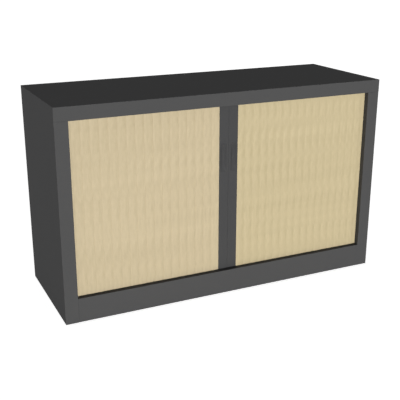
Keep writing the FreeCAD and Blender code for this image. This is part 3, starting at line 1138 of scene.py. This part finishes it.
class LinerRecipe(Recipe):
    """A folded false side with columns of slots for the shelf clips."""

    name = "slotted liner"
    FOLD_STEPS = 5
    SLOT_STEPS = 4
    SLOT_ROUNDING = 0.49  # radius of a slot's corners, as a share of its width
    DRILL_REACH = 2.0  # how far a slot's cutter reaches to either side, in sheets

    def layout(self) -> Wire:
        """Draws the sheet along its fold line and cuts the slots and the notches out of it.

        Returns:
            The liner.
        """
        join = self.wires.join
        sheet, height, fold_radius = self.inputs("sheet", "height", "fold_radius")
        slot_width, slot_height = self.inputs("slot_width", "slot_height")
        slot_pitch, column_pitch = self.inputs("slot_pitch", "column_pitch")
        section = self.geo("CurvePrimitiveQuadrilateral", {"Width": sheet, "Height": height})
        body = self.sweep(self.path(fold_radius, self.FOLD_STEPS), section)
        outline = self.geo(
            "CurvePrimitiveQuadrilateral", {"Width": slot_width, "Height": slot_height}
        )
        slot = self.round_corners(outline, slot_width * self.SLOT_ROUNDING, self.SLOT_STEPS)
        ends = [join(sheet * way, 0.0, 0.0) for way in (-self.DRILL_REACH, self.DRILL_REACH)]
        drill = self.geo("CurvePrimitiveLine", {"Start": ends[0], "End": ends[1]})
        cutter = self.sweep(self.stand(drill), slot)
        column = self.geo(
            "MeshLine",
            {
                "Count": self.input("slots", "Int"),
                "Start Location": self.input("first_slot", "Vector"),
                "Offset": join(0.0, 0.0, slot_pitch),
            },
        )
        second = self.geo(
            "Transform", {"Geometry": column, "Translation": join(0.0, column_pitch, 0.0)}
        )
        both = self.geo("JoinGeometry", {"Geometry": [column, second]})
        row = self.geo("InstanceOnPoints", {"Points": both, "Instance": cutter})
        cutters = self.geo("RealizeInstances", {"Geometry": row})
        return self.geo(
            "MeshBoolean",
            {"Mesh 1": body, "Mesh 2": [cutters, self.part("notches")]},
            operation="DIFFERENCE",
            solver="EXACT",
        )


class ScatterRecipe(Recipe):
    """The same small part on every point of a mesh, turned as the point's TURN says."""

    name = "scattered parts"

    def layout(self) -> Wire:
        """Puts an instance of the part on each point.

        Returns:
            The instances.
        """
        turn = self.geo("InputNamedAttribute", {"Name": TURN}, "Attribute", data_type="FLOAT_VECTOR")
        feeds = {"Points": self.base, "Instance": self.part("part"), "Rotation": turn}
        return self.geo("InstanceOnPoints", feeds)


class StudRecipe(Recipe):
    """A threaded stud: a cylinder whose radius follows the thread."""

    name = "threaded stud"
    CORNERS = 24

    def layout(self) -> Wire:
        """Winds a V thread round a cylinder between two heights.

        Returns:
            The stud.
        """
        radius, thread, pitch = self.inputs("stud_radius", "thread_depth", "thread_pitch")
        bottom, top = self.inputs("bottom", "top")
        centre = self.input("centre", "Vector")
        rod = self.geo(
            "MeshCylinder",
            {
                "Vertices": self.CORNERS,
                "Side Segments": self.input("rows", "Int"),
                "Radius": radius,
                "Depth": top - bottom,
            },
        )
        x, y, z = self.geo("InputPosition").split()
        turn = y.math("ARCTAN2", x) / (2 * math.pi)
        phase = (z / pitch - turn).math("FRACT")
        tooth = (phase * 2.0 - 1.0).math("ABSOLUTE")
        keep = 1.0 - thread * (1.0 - tooth) / radius
        place = self.wires.join(x * keep, y * keep, z)
        stud = self.geo("SetPosition", {"Geometry": rod, "Position": place})
        for move in (self.wires.join(0.0, 0.0, (top + bottom) * 0.5), centre):
            stud = self.geo("Transform", {"Geometry": stud, "Translation": move})
        return stud


# ---- sub-assemblies ----
@dataclass
class SubAssembly:
    """A group of pieces that are made together."""

    frame: Frame
    wardrobe: Wardrobe

    def rounded_node(self, node: str, name: str, slot: Slot, edges: EdgeRounding) -> None:
        """Makes a piece as a copy of its node with rounded edges.

        Args:
            node: The node that it stands for.
            name: The piece's name.
            slot: The material slot that it takes its finish from.
            edges: How far its edges are rounded.
        """
        piece = edges.copy_of(self.frame.mesh(node), name, self.wardrobe[slot])
        self.frame.publish(piece, slot, node)


@dataclass
class Carcass(SubAssembly):
    """The folded steel sheets, the shelf and its clips."""

    sheet_edges: EdgeRounding = EdgeRounding()
    clip_edges: EdgeRounding = EdgeRounding(fold=0.7 * MM, cut=0.2 * MM, flat=2.2 * MM)

    SHEETS = {
        "folded_top": "top_panel",
        "ceiling_tray": "sub_top_tray",
        "floor_tray": "base_tray",
        "folded_plinth": "plinth_rail",
        "back_sheet": "back_panel",
        "left_side_sheet": "left_side_panel",
        "right_side_sheet": "right_side_panel",
        "folded_shelf": "shelf",
    }

    def build(self) -> None:
        """Makes every sheet and the clips as rounded copies of their nodes."""
        for name, node in self.SHEETS.items():
            self.rounded_node(node, name, Slot.PAINT, self.sheet_edges)
        self.rounded_node("shelf_clips", "plated_shelf_clips", Slot.CLIP, self.clip_edges)


@dataclass
class Liners(SubAssembly):
    """The two false sides that hide the open doors."""

    sheet: float = 1.0 * MM
    fold_radius: float = 1.2 * MM
    face_inset: float = 2.0 * MM  # from the shelf's end to the liner's face
    jog: float = 18.5 * MM  # from the back of the step to the back sheet
    slot_width: float = 3.0 * MM
    slot_height: float = 14.0 * MM
    slot_pitch: float = 40.0 * MM
    first_slot: float = 50.0 * MM
    top_space: float = 30.0 * MM
    column_inset: float = 42.0 * MM
    notch_gap: float = 1.0 * MM
    notch_depth: float = 8.0 * MM
    track_width: float = 10.0 * MM
    track_height: float = 12.0 * MM
    sharp_degrees: float = 30.0

    def build(self) -> None:
        """Makes both liners."""
        recipe = LinerRecipe()
        for side in Side:
            self._liner(recipe, side)

    def _liner(self, recipe: LinerRecipe, side: Side) -> None:
        """Makes one liner.

        Args:
            recipe: The recipe for liners.
            side: The side of the cabinet that it is on.
        """
        node = f"{side.word}_curtain_liner"
        low, high = self.frame.span(node)
        half = self.sheet / 2
        tail, outer = sorted((abs(low.x), abs(high.x)))
        face = self.frame.span("shelf")[1].x + self.face_inset
        front = low.y
        back = high.y - self.jog
        middle = (low.z + high.z) / 2
        line = [
            (outer, front + half),
            (face + half, front + half),
            (face + half, back - half),
            (tail + half, back - half),
            (tail + half, high.y),
        ]
        notches = self._notches(side, outer, low, high)
        room = high.z - self.top_space - low.z - self.first_slot
        first_slot = (
            side.value * (face + half), front + self.column_inset, low.z + self.first_slot
        )
        piece = recipe.make(
            f"{side.word}_slotted_liner",
            {
                **vars(self),
                "height": high.z - low.z,
                "slots": int(room // self.slot_pitch) + 1,
                "first_slot": first_slot,
                "column_pitch": back - front - 2 * self.column_inset,
                "notches": notches,
                "material": self.wardrobe[Slot.PAINT],
            },
            polyline([Vector((side.value * x, y, middle)) for x, y in line]),
            self.sharp_degrees,
        )
        bpy.data.objects.remove(notches)
        self.frame.publish(piece, Slot.PAINT, node)

    def _notches(self, side: Side, outer: float, low: Vector, high: Vector) -> Object:
        """Makes two blocks where the tracks pass through the front fold of a liner.

        Args:
            side: The liner's side.
            outer: How far from the middle the fold ends.
            low: The liner's lowest corner.
            high: Its highest corner.

        Returns:
            The blocks.
        """
        tracks_low, tracks_high = self.frame.span("door_tracks")
        gap = self.notch_gap
        inner = tracks_high.x - self.track_width - gap
        width = outer - inner + gap
        heights = [
            (low.z - gap, tracks_low.z + self.track_height + gap),
            (tracks_high.z - self.track_height - gap, high.z + gap),
        ]
        shape = bmesh.new()
        for bottom, top in heights:
            middle = (side.value * (inner + width / 2), low.y, (bottom + top) / 2)
            add_block(shape, middle, (width, self.notch_depth, top - bottom))
        return new_piece("notches", shape)


@dataclass
class Tracks(SubAssembly):
    """The two grooved tracks with their screws, and a black strip on the sill under the doors, partly trim and partly
    painted shade.
    """

    height: float = 12.0 * MM
    half_width: float = 5.0 * MM
    half_groove: float = 3.0 * MM
    web: float = 2.0 * MM
    corner: float = 38.0 * MM
    rear_run: float = 70.0 * MM
    lip_round: float = 0.5 * MM
    lip_corner: float = 0.15 * MM  # how far the rounding's middle point is from the lip's corner
    track_sharp_degrees: float = 50.0
    screw_radius: float = 1.4 * MM
    screw_head: float = 2.7 * MM
    screw_head_height: float = 1.4 * MM
    screw_length: float = 7.0 * MM
    screw_tip: float = 0.28 * MM
    screw_point: float = 1.5 * MM
    screw_cross: tuple[float, float, float] = (0.5 * MM, 2.8 * MM, 1.5 * MM)
    screw_corners: int = 20
    screw_sharp_degrees: float = 30.0
    front_screws: int = 5
    side_screws: int = 2
    screw_space: float = 60.0 * MM
    strip_grooves: int = 3
    strip_groove_width: float = 1.2 * MM
    strip_groove_floor: float = 0.6 * MM
    strip_groove_depth: float = 0.3 * MM
    strip_chamfer: float = 0.3 * MM
    strip_sharp_degrees: float = 40.0

    # The screw head's radius and height, as shares of the whole, from the seat up.
    PAN_HEAD = ((1.0, 0.0), (1.0, 0.25), (0.93, 0.6), (0.75, 0.87), (0.45, 1.0))

    def build(self) -> None:
        """Makes the tracks, the screws and the strip."""
        recipe = TrackRecipe()
        low, high = self.frame.span("door_tracks")
        for name, seat, way in (("floor_track", low.z, 1), ("ceiling_track", high.z, -1)):
            outline = [(x, -way * y) for x, y in self._section()]
            line = polyline(self._line(seat))
            self._bar(recipe, name, "door_tracks", outline, line, self.track_sharp_degrees)
        # the black sill strip darkens the recess under the doors as painted shade
        self._sill_strip(recipe)
        self._screws()

    def _bar(
        self,
        recipe: TrackRecipe,
        name: str,
        node: str,
        outline: Profile,
        line: Mesh,
        sharp_degrees: float,
    ) -> None:
        """Makes a bar of black plastic along a line.

        Args:
            recipe: The recipe for bars.
            name: The bar's name.
            node: The node that it stands for.
            outline: Its section.
            line: Its middle line.
            sharp_degrees: Edges that turn by more than this stay sharp.
        """
        points = [Vector((x, y, 0.0)) for x, y in outline]
        section = new_piece("section", polyline(points, closed=True))
        values = {"section": section, "material": self.wardrobe[Slot.TRACK]}
        piece = recipe.make(name, {**vars(self), **values}, line, sharp_degrees)
        bpy.data.objects.remove(section)
        self.frame.publish(piece, Slot.TRACK, node)

    def _sill_strip(self, recipe: TrackRecipe) -> None:
        """Makes the black strip on the sill, a flat extrusion with fine grooves along it, whose black is partly
        painted shade in the recess.

        Args:
            recipe: The recipe for bars.
        """
        low, high = self.frame.span("sill_strip")
        half = (high.y - low.y) / 2
        thick = high.z - low.z
        soft = self.strip_chamfer
        deep = thick - self.strip_groove_depth
        wide = self.strip_groove_width / 2
        floor = self.strip_groove_floor / 2
        outline = [(-half, 0.0), (-half, thick - soft), (-half + soft, thick)]
        for i in range(self.strip_grooves):
            middle = half * (2 * (i + 1) / (self.strip_grooves + 1) - 1)
            outline += [(middle - wide, thick), (middle - floor, deep)]
            outline += [(middle + floor, deep), (middle + wide, thick)]
        outline += [(half - soft, thick), (half, thick - soft), (half, 0.0)]
        line = polyline([Vector((x, (low.y + high.y) / 2, low.z)) for x in (low.x, high.x)])
        down = [(x, -y) for x, y in outline]
        self._bar(recipe, "grooved_sill_strip", "sill_strip", down, line, self.strip_sharp_degrees)

    def _line(self, height: float) -> list[Vector]:
        """Lays out the middle line of a track.

        Args:
            height: How high it lies.

        Returns:
            Its corners, from the left tail round the front to the right tail.
        """
        low, high = self.frame.span("door_tracks")
        side = high.x - self.half_width
        front = low.y + self.half_width
        back = high.y - self.half_width
        tail = side - self.corner - self.rear_run
        points = [(-tail, back), (-side, back), (-side, front)]
        mirrored = [(-x, y) for x, y in reversed(points)]
        return [Vector((x, y, height)) for x, y in points + mirrored]

    def _section(self) -> Profile:
        """Lays out the section of a track: a web with a rounded lip on either side.

        Returns:
            Its points, across the track's line and up from its seat.
        """
        soft = self.lip_round
        near = self.lip_corner
        half = [
            (self.half_groove, self.web),
            (self.half_groove, self.height - soft),
            (self.half_groove + near, self.height - near),
            (self.half_groove + soft, self.height),
            (self.half_width - soft, self.height),
            (self.half_width - near, self.height - near),
            (self.half_width, self.height - soft),
            (self.half_width, 0.0),
        ]
        return half + [(-x, y) for x, y in reversed(half)]

    def _screw(self) -> Object:
        """Makes a pan head screw with a cross cut into its head.

        Returns:
            The screw, whose head stands on the origin.
        """
        crown = self.screw_head_height
        profile = [
            (self.screw_tip, -self.screw_length),
            (self.screw_radius, self.screw_point - self.screw_length),
            (self.screw_radius, 0.0),
        ]
        profile += [(wide * self.screw_head, up * crown) for wide, up in self.PAN_HEAD]
        rings = [circle_ring(radius, z, self.screw_corners, Vector()) for radius, z in profile]
        screw = new_piece("screw", add_skin(bmesh.new(), rings))
        cross = bmesh.new()
        width, length, depth = self.screw_cross
        for size in ((width, length, depth), (length, width, depth)):
            add_block(cross, (0.0, 0.0, crown), size)
        cutter = new_piece("cross", cross)
        cut = screw.modifiers.new("cross", "BOOLEAN")
        cut.object = cutter
        cut.solver = "EXACT"
        cut.use_self = True
        freeze(screw)
        bpy.data.objects.remove(cutter)
        return screw

    def _screws(self) -> None:
        """Puts a screw at every hole of both tracks."""
        low, high = self.frame.span("door_tracks")
        line = self._line(0.0)
        side = -line[1].x
        front = line[2].y
        back = line[0].y
        reach = side - self.corner
        spots = [
            (reach * (2 * i / (self.front_screws - 1) - 1), front) for i in range(self.front_screws)
        ]
        inset = self.corner + self.screw_space
        run = back - front - 2 * inset
        for i in range(self.side_screws):
            y = front + inset + i * run / (self.side_screws - 1)
            spots += [(-side, y), (side, y)]
        seats = [(low.z + self.web, 0.0), (high.z - self.web, math.pi)]
        places = [((x, y, z), turn) for x, y in spots for z, turn in seats]
        base = bpy.data.meshes.new("screw places")
        base.from_pydata([place for place, _ in places], [], [])
        turns = base.attributes.new(TURN, "FLOAT_VECTOR", "POINT")
        for point, (_, turn) in zip(turns.data, places):
            point.vector = (turn, 0.0, 0.0)
        screw = self._screw()
        values = {"part": screw, "material": self.wardrobe[Slot.SCREW]}
        recipe = ScatterRecipe()
        piece = recipe.make("cross_head_screws", values, base, self.screw_sharp_degrees)
        bpy.data.objects.remove(screw)
        self.frame.publish(piece, Slot.SCREW, "track_screws")


class CupRing(NamedTuple):
    """One ring of a finger cup: how far it is inside the rim's outline, and its depth."""

    inset_x: float
    inset_z: float
    radius: float
    depth: float


@dataclass
class TambourDoor(SubAssembly):
    """One door: ribbed slats, and the lead rail with its finger cup and guides."""

    side: Side
    slat_recipe: SlatRecipe
    print_start: float  # how far right of a slat's left edge its print and painted shade start
    pitch: float = 30.0 * MM
    skin: float = 0.5 * MM
    lean: float = 0.8 * MM
    rib_rise: float = 0.5 * MM
    ribs: float = 1.0
    outline_points: int = 96
    figure_step: float = 0.5 * MM  # how far the print moves on from slat to slat
    rim_rise: float = 0.6 * MM
    dish_side: float = 8.0 * MM  # width of the slope along each side
    dish_end: float = 26.0 * MM
    dish_depth: float = 4.4 * MM
    dish_rings: int = 12
    dish_hollow: float = 1.5  # over 1, the dish levels out towards its middle
    dish_roundness: float = 0.97  # 1 makes the dish's ends half circles
    dish_rounding_pace: float = 3.0  # how much sooner its ends are round than its floor is level
    cup_sharp_degrees: float = 60.0
    rail_edges: EdgeRounding = EdgeRounding(
        fold=0.25 * MM, inner_fold=0.2 * MM, cut=0.15 * MM, flat=2.6 * MM
    )
    guide_edges: EdgeRounding = EdgeRounding(fold=0.4 * MM, inner_fold=0.2 * MM, cut=0.3 * MM)

    CUP_RIM_MM = (  # from the back of the pocket over the rim to the dish's mouth
        (5.6, 9.0, 3.0, 6.0),
        (3.2, 5.4, 3.4, 5.6),
        (2.2, 2.9, 2.6, 4.0),
        (1.9, 1.9, 2.0, 0.9),
        (1.8, 1.8, 2.0, 0.05),
        (0.0, 0.0, 4.6, 0.02),
        (0.0, 0.0, 4.6, -0.04),
        (0.35, 0.35, 4.5, -0.28),
        (0.9, 0.9, 4.3, -0.48),
        (1.5, 1.5, 4.1, -0.6),
        (1.9, 2.0, 4.0, -0.55),
    )

    def build(self) -> None:
        """Makes the slats, the rail, the cup and the guides."""
        word = self.side.word
        for node in self.frame.node_names:
            if node.startswith(f"{word}_slat_"):
                self._slat(node)
        self.rounded_node(f"{word}_lead_rail", f"{word}_meeting_rail", Slot.RAIL, self.rail_edges)
        self._finger_cup()
        self.rounded_node(
            f"{word}_rail_guides", f"{word}_nylon_guides", Slot.GUIDE, self.guide_edges
        )

    def _slat(self, node: str) -> None:
        """Makes one slat.

        Args:
            node: The node that it stands for, whose name ends in the slat's number.
        """
        number = int(node[-2:])
        low, high = self.frame.span(node)
        piece = self.slat_recipe.make(
            f"{self.side.word}_maple_slat_{number:02d}",
            {
                **vars(self),
                "side": float(self.side.value),
                "inner": min(abs(low.x), abs(high.x)),
                "width": high.x - low.x,
                "face": self.frame.span(f"{self.side.word}_lead_rail")[0].y,
                "bottom": low.z,
                "top": high.z,
                "figure_shift": self.figure_step * number * self.side.value,
                "material": self.wardrobe.maple[self.side],
            },
        )
        self.frame.publish(piece, Slot.DECOR, node)

    def _finger_cup(self) -> None:
        """Makes the cup as one skin from the back of its pocket over the rim to its floor."""
        node = f"{self.side.word}_grip_cup"
        low, high = self.frame.span(node)
        centre = (low + high) / 2
        centre.y = low.y + self.rim_rise
        half_x = (high.x - low.x) / 2
        half_z = (high.z - low.z) / 2
        rings = [
            rounded_ring(
                half_x - ring.inset_x,
                half_z - ring.inset_z,
                ring.radius,
                centre + Vector((0.0, ring.depth, 0.0)),
            )
            for ring in self._cup_rings(half_x)
        ]
        piece = new_piece(f"{self.side.word}_finger_cup", add_skin(bmesh.new(), rings))
        piece.data.materials.append(self.wardrobe[Slot.GRIP])
        shade(piece.data, self.cup_sharp_degrees)
        self.frame.publish(piece, Slot.GRIP, node)

    def _cup_rings(self, half_width: float) -> list[CupRing]:
        """Lays out the rings of the rim and of the dish, whose corners soon become half circles.

        Args:
            half_width: Half the width of the rim.

        Returns:
            The rings, from the back of the pocket to the level floor of the dish.
        """
        rings = [CupRing(*(size * MM for size in ring)) for ring in self.CUP_RIM_MM]
        mouth = rings[-1]
        for i in range(1, self.dish_rings + 1):
            share = i / self.dish_rings
            inset = mouth.inset_x + self.dish_side * share
            half_circle = self.dish_roundness * (half_width - inset)
            rounding = min(1.0, self.dish_rounding_pace * share)
            fall = (self.dish_depth - mouth.depth) * (1 - (1 - share) ** self.dish_hollow)
            rings.append(
                CupRing(
                    inset,
                    mouth.inset_z + self.dish_end * share,
                    mouth.radius + rounding * (half_circle - mouth.radius),
                    mouth.depth + fall,
                )
            )
        return rings


@dataclass
class Feet(SubAssembly):
    """The four levelling feet."""

    pad_height: float = 5.0 * MM
    pad_corners: int = 48
    hex_height: float = 6.0 * MM
    hex_across: float = 13.0 * MM
    chamfer: float = 0.7 * MM
    chamfer_height: float = 0.35 * MM
    overlap: float = 0.5 * MM  # how far the stud reaches into the hexagon
    seat: float = 0.1 * MM  # how far the hexagon reaches into the pad
    stud_radius: float = 4.0 * MM
    thread_depth: float = 0.6 * MM
    thread_pitch: float = 1.25 * MM
    rows_per_turn: int = 6
    stud_sharp_degrees: float = 50.0
    sharp_degrees: float = 35.0

    # The pad's radius and height, as shares of the whole, from the bottom up.
    PAD = ((0.96, 0.0), (1.0, 0.12), (1.0, 0.45), (0.97, 0.7), (0.85, 0.86), (0.45, 1.0))

    def build(self) -> None:
        """Makes every foot."""
        recipe = StudRecipe()
        for node in self.frame.node_names:
            if node.endswith("_foot"):
                self._foot(recipe, node)

    def _foot(self, recipe: StudRecipe, node: str) -> None:
        """Makes one foot: a pad, a chamfered hexagon and a threaded stud, in one piece.

        Args:
            recipe: The recipe for studs.
            node: The node that it stands for.
        """
        low, high = self.frame.span(node)
        centre = Vector(((low.x + high.x) / 2, (low.y + high.y) / 2, 0.0))
        radius = (high.x - low.x) / 2
        bottom = low.z + self.pad_height
        shoulder = bottom + self.hex_height
        turns = (high.z - shoulder) / self.thread_pitch
        piece = recipe.make(
            f"{node}_stud",
            {
                **vars(self),
                "bottom": shoulder - self.overlap,
                "top": high.z,
                "centre": tuple(centre),
                "rows": round(turns * self.rows_per_turn),
                "material": self.wardrobe[Slot.FOOT],
            },
            sharp_degrees=self.stud_sharp_degrees,
        )
        shape = bmesh.new()
        shape.from_mesh(piece.data)
        pad = [(wide * radius, low.z + up * self.pad_height) for wide, up in self.PAD]
        corner = self.hex_across / math.sqrt(3)
        hexagon = [
            (corner - self.chamfer, bottom - self.seat),
            (corner, bottom + self.chamfer_height),
            (corner, shoulder - self.chamfer_height),
            (corner - self.chamfer, shoulder),
        ]
        for profile, corners, material_index in ((pad, self.pad_corners, 1), (hexagon, 6, 0)):
            rings = [circle_ring(r, height, corners, centre) for r, height in profile]
            add_skin(shape, rings, material_index)
        shape.to_mesh(piece.data)
        shape.free()
        piece.data.materials.append(self.wardrobe.foot_pad)
        shade(piece.data, self.sharp_degrees)
        self.frame.publish(piece, Slot.FOOT, node)


# ---- studio ----
def turned(degrees: float, axis: str) -> Matrix:
    """A turn round an axis."""
    return Matrix.Rotation(math.radians(degrees), 4, axis)


def hang(name: str, data: bpy.types.ID, place: Matrix) -> Object:
    """Puts a light or a camera into the scene.

    Args:
        name: Its name.
        data: The light or the camera.
        place: Where it is and how it is turned.

    Returns:
        The object.
    """
    hung = bpy.data.objects.new(name, data)
    bpy.context.scene.collection.objects.link(hung)
    hung.matrix_world = place
    return hung


@dataclass(frozen=True)
class SoftSun:
    """A distant soft light: where it comes from, its strength and how wide it is."""

    name: str
    azimuth: float  # degrees from the front, towards the right
    elevation: float
    level: float  # how bright it makes a white card that faces it, from 0 to 1
    width: float  # degrees across

    def build(self) -> None:
        """Adds the light."""
        lamp = bpy.data.lights.new(self.name, "SUN")
        lamp.energy = self.level * math.pi
        lamp.angle = math.radians(self.width)
        hang(self.name, lamp, turned(self.azimuth, "Z") @ turned(90 - self.elevation, "X"))


@dataclass
class Studio:
    """A pale floor under a plain white room, soft suns and the camera."""

    lens: float = 67.2401
    sensor: float = 36.0
    clip: tuple[float, float] = (0.05, 100.0)
    camera_place: tuple[float, float, float] = (-1.1361, -2.378, 1.1664)
    camera_pan: float = -25.2355
    camera_tilt: float = 71.4266
    camera_roll: float = 0.0217
    room_light: float = 0.2
    floor_glow: float = 0.8
    floor_colour: Colour = (0.8, 0.8, 0.8, 1.0)
    floor_size: float = 60.0
    suns: tuple[SoftSun, ...] = (
        SoftSun("key", -9.0, 6.0, 0.82, 12.0),
        SoftSun("left fill", -110.0, 7.0, 0.28, 14.0),
        SoftSun("right fill", 105.0, 7.0, 0.16, 14.0),
        SoftSun("rear fill", 150.0, 9.0, 0.26, 16.0),
    )

    def build(self) -> None:
        """Makes the floor, the room, the lights and the camera."""
        self._floor()
        self._room()
        for sun in self.suns:
            sun.build()
        self._camera()
        bpy.context.scene.view_settings.view_transform = "Standard"

    def _seen(self, wires: Wiring) -> Wire:
        """Tells rays that show a thing to the eye from rays that only carry light.

        Args:
            wires: The wiring of a material or of the world.

        Returns:
            1 for rays from the camera and in a reflection or a glass, and 0 for others.
        """
        path = wires.node("ShaderNodeLightPath").outputs
        kinds = ("Camera", "Glossy", "Transmission")
        camera, glossy, through = (Wire(wires, path[f"Is {kind} Ray"]) for kind in kinds)
        return camera.math("MAXIMUM", glossy).math("MAXIMUM", through)

    def _floor(self) -> None:
        """Makes the floor: white where nothing shades it, and greyer in the shadow."""
        half = self.floor_size / 2
        corners = [(-half, -half, 0.0), (half, -half, 0.0), (half, half, 0.0), (-half, half, 0.0)]
        mesh = bpy.data.meshes.new("studio_floor")
        mesh.from_pydata(corners, [], [(0, 1, 2, 3)])
        material = bpy.data.materials.new("studio floor")
        wires = Wiring.inside(material)
        matt = wires.out("ShaderNodeBsdfDiffuse", {"Color": self.floor_colour})
        glow = wires.out("ShaderNodeEmission", {"Strength": self._seen(wires) * self.floor_glow})
        both = wires.out("ShaderNodeAddShader", {0: matt, 1: glow})
        wires.node("ShaderNodeOutputMaterial", {"Surface": both})
        mesh.materials.append(material)
        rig.stage(new_piece("studio_floor", mesh))

    def _room(self) -> None:
        """Makes the world: white to the eye, and a low even light on the cabinet."""
        world = bpy.data.worlds.new("studio room")
        bpy.context.scene.world = world
        wires = Wiring.inside(world)
        strength = self._seen(wires).between(self.room_light, 1.0)
        light = wires.out(
            "ShaderNodeBackground", {"Color": (1.0, 1.0, 1.0, 1.0), "Strength": strength}
        )
        wires.node("ShaderNodeOutputWorld", {"Surface": light})

    def _camera(self) -> None:
        """Makes the camera and looks through it."""
        data = bpy.data.cameras.new("camera")
        data.lens = self.lens
        data.sensor_width = self.sensor
        data.clip_start, data.clip_end = self.clip
        aim = turned(self.camera_pan, "Z") @ turned(self.camera_tilt, "X")
        place = Matrix.Translation(self.camera_place) @ aim @ turned(self.camera_roll, "Z")
        bpy.context.scene.camera = hang("camera", data, place)


def main() -> None:
    """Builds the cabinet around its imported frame, in order."""
    logging.basicConfig(level=logging.INFO, format="%(name)s: %(message)s")
    frame = Frame()
    wardrobe = Wardrobe()
    Carcass(frame, wardrobe).build()
    Liners(frame, wardrobe).build()
    Tracks(frame, wardrobe).build()
    slats = SlatRecipe()
    for side in Side:
        TambourDoor(frame, wardrobe, side, slats, PRINT_AND_SHADE_STARTS[side]).build()
    Feet(frame, wardrobe).build()
    Studio().build()
    frame.write_sizes(SIZE_FILE)


if __name__ == "__main__":
    main()
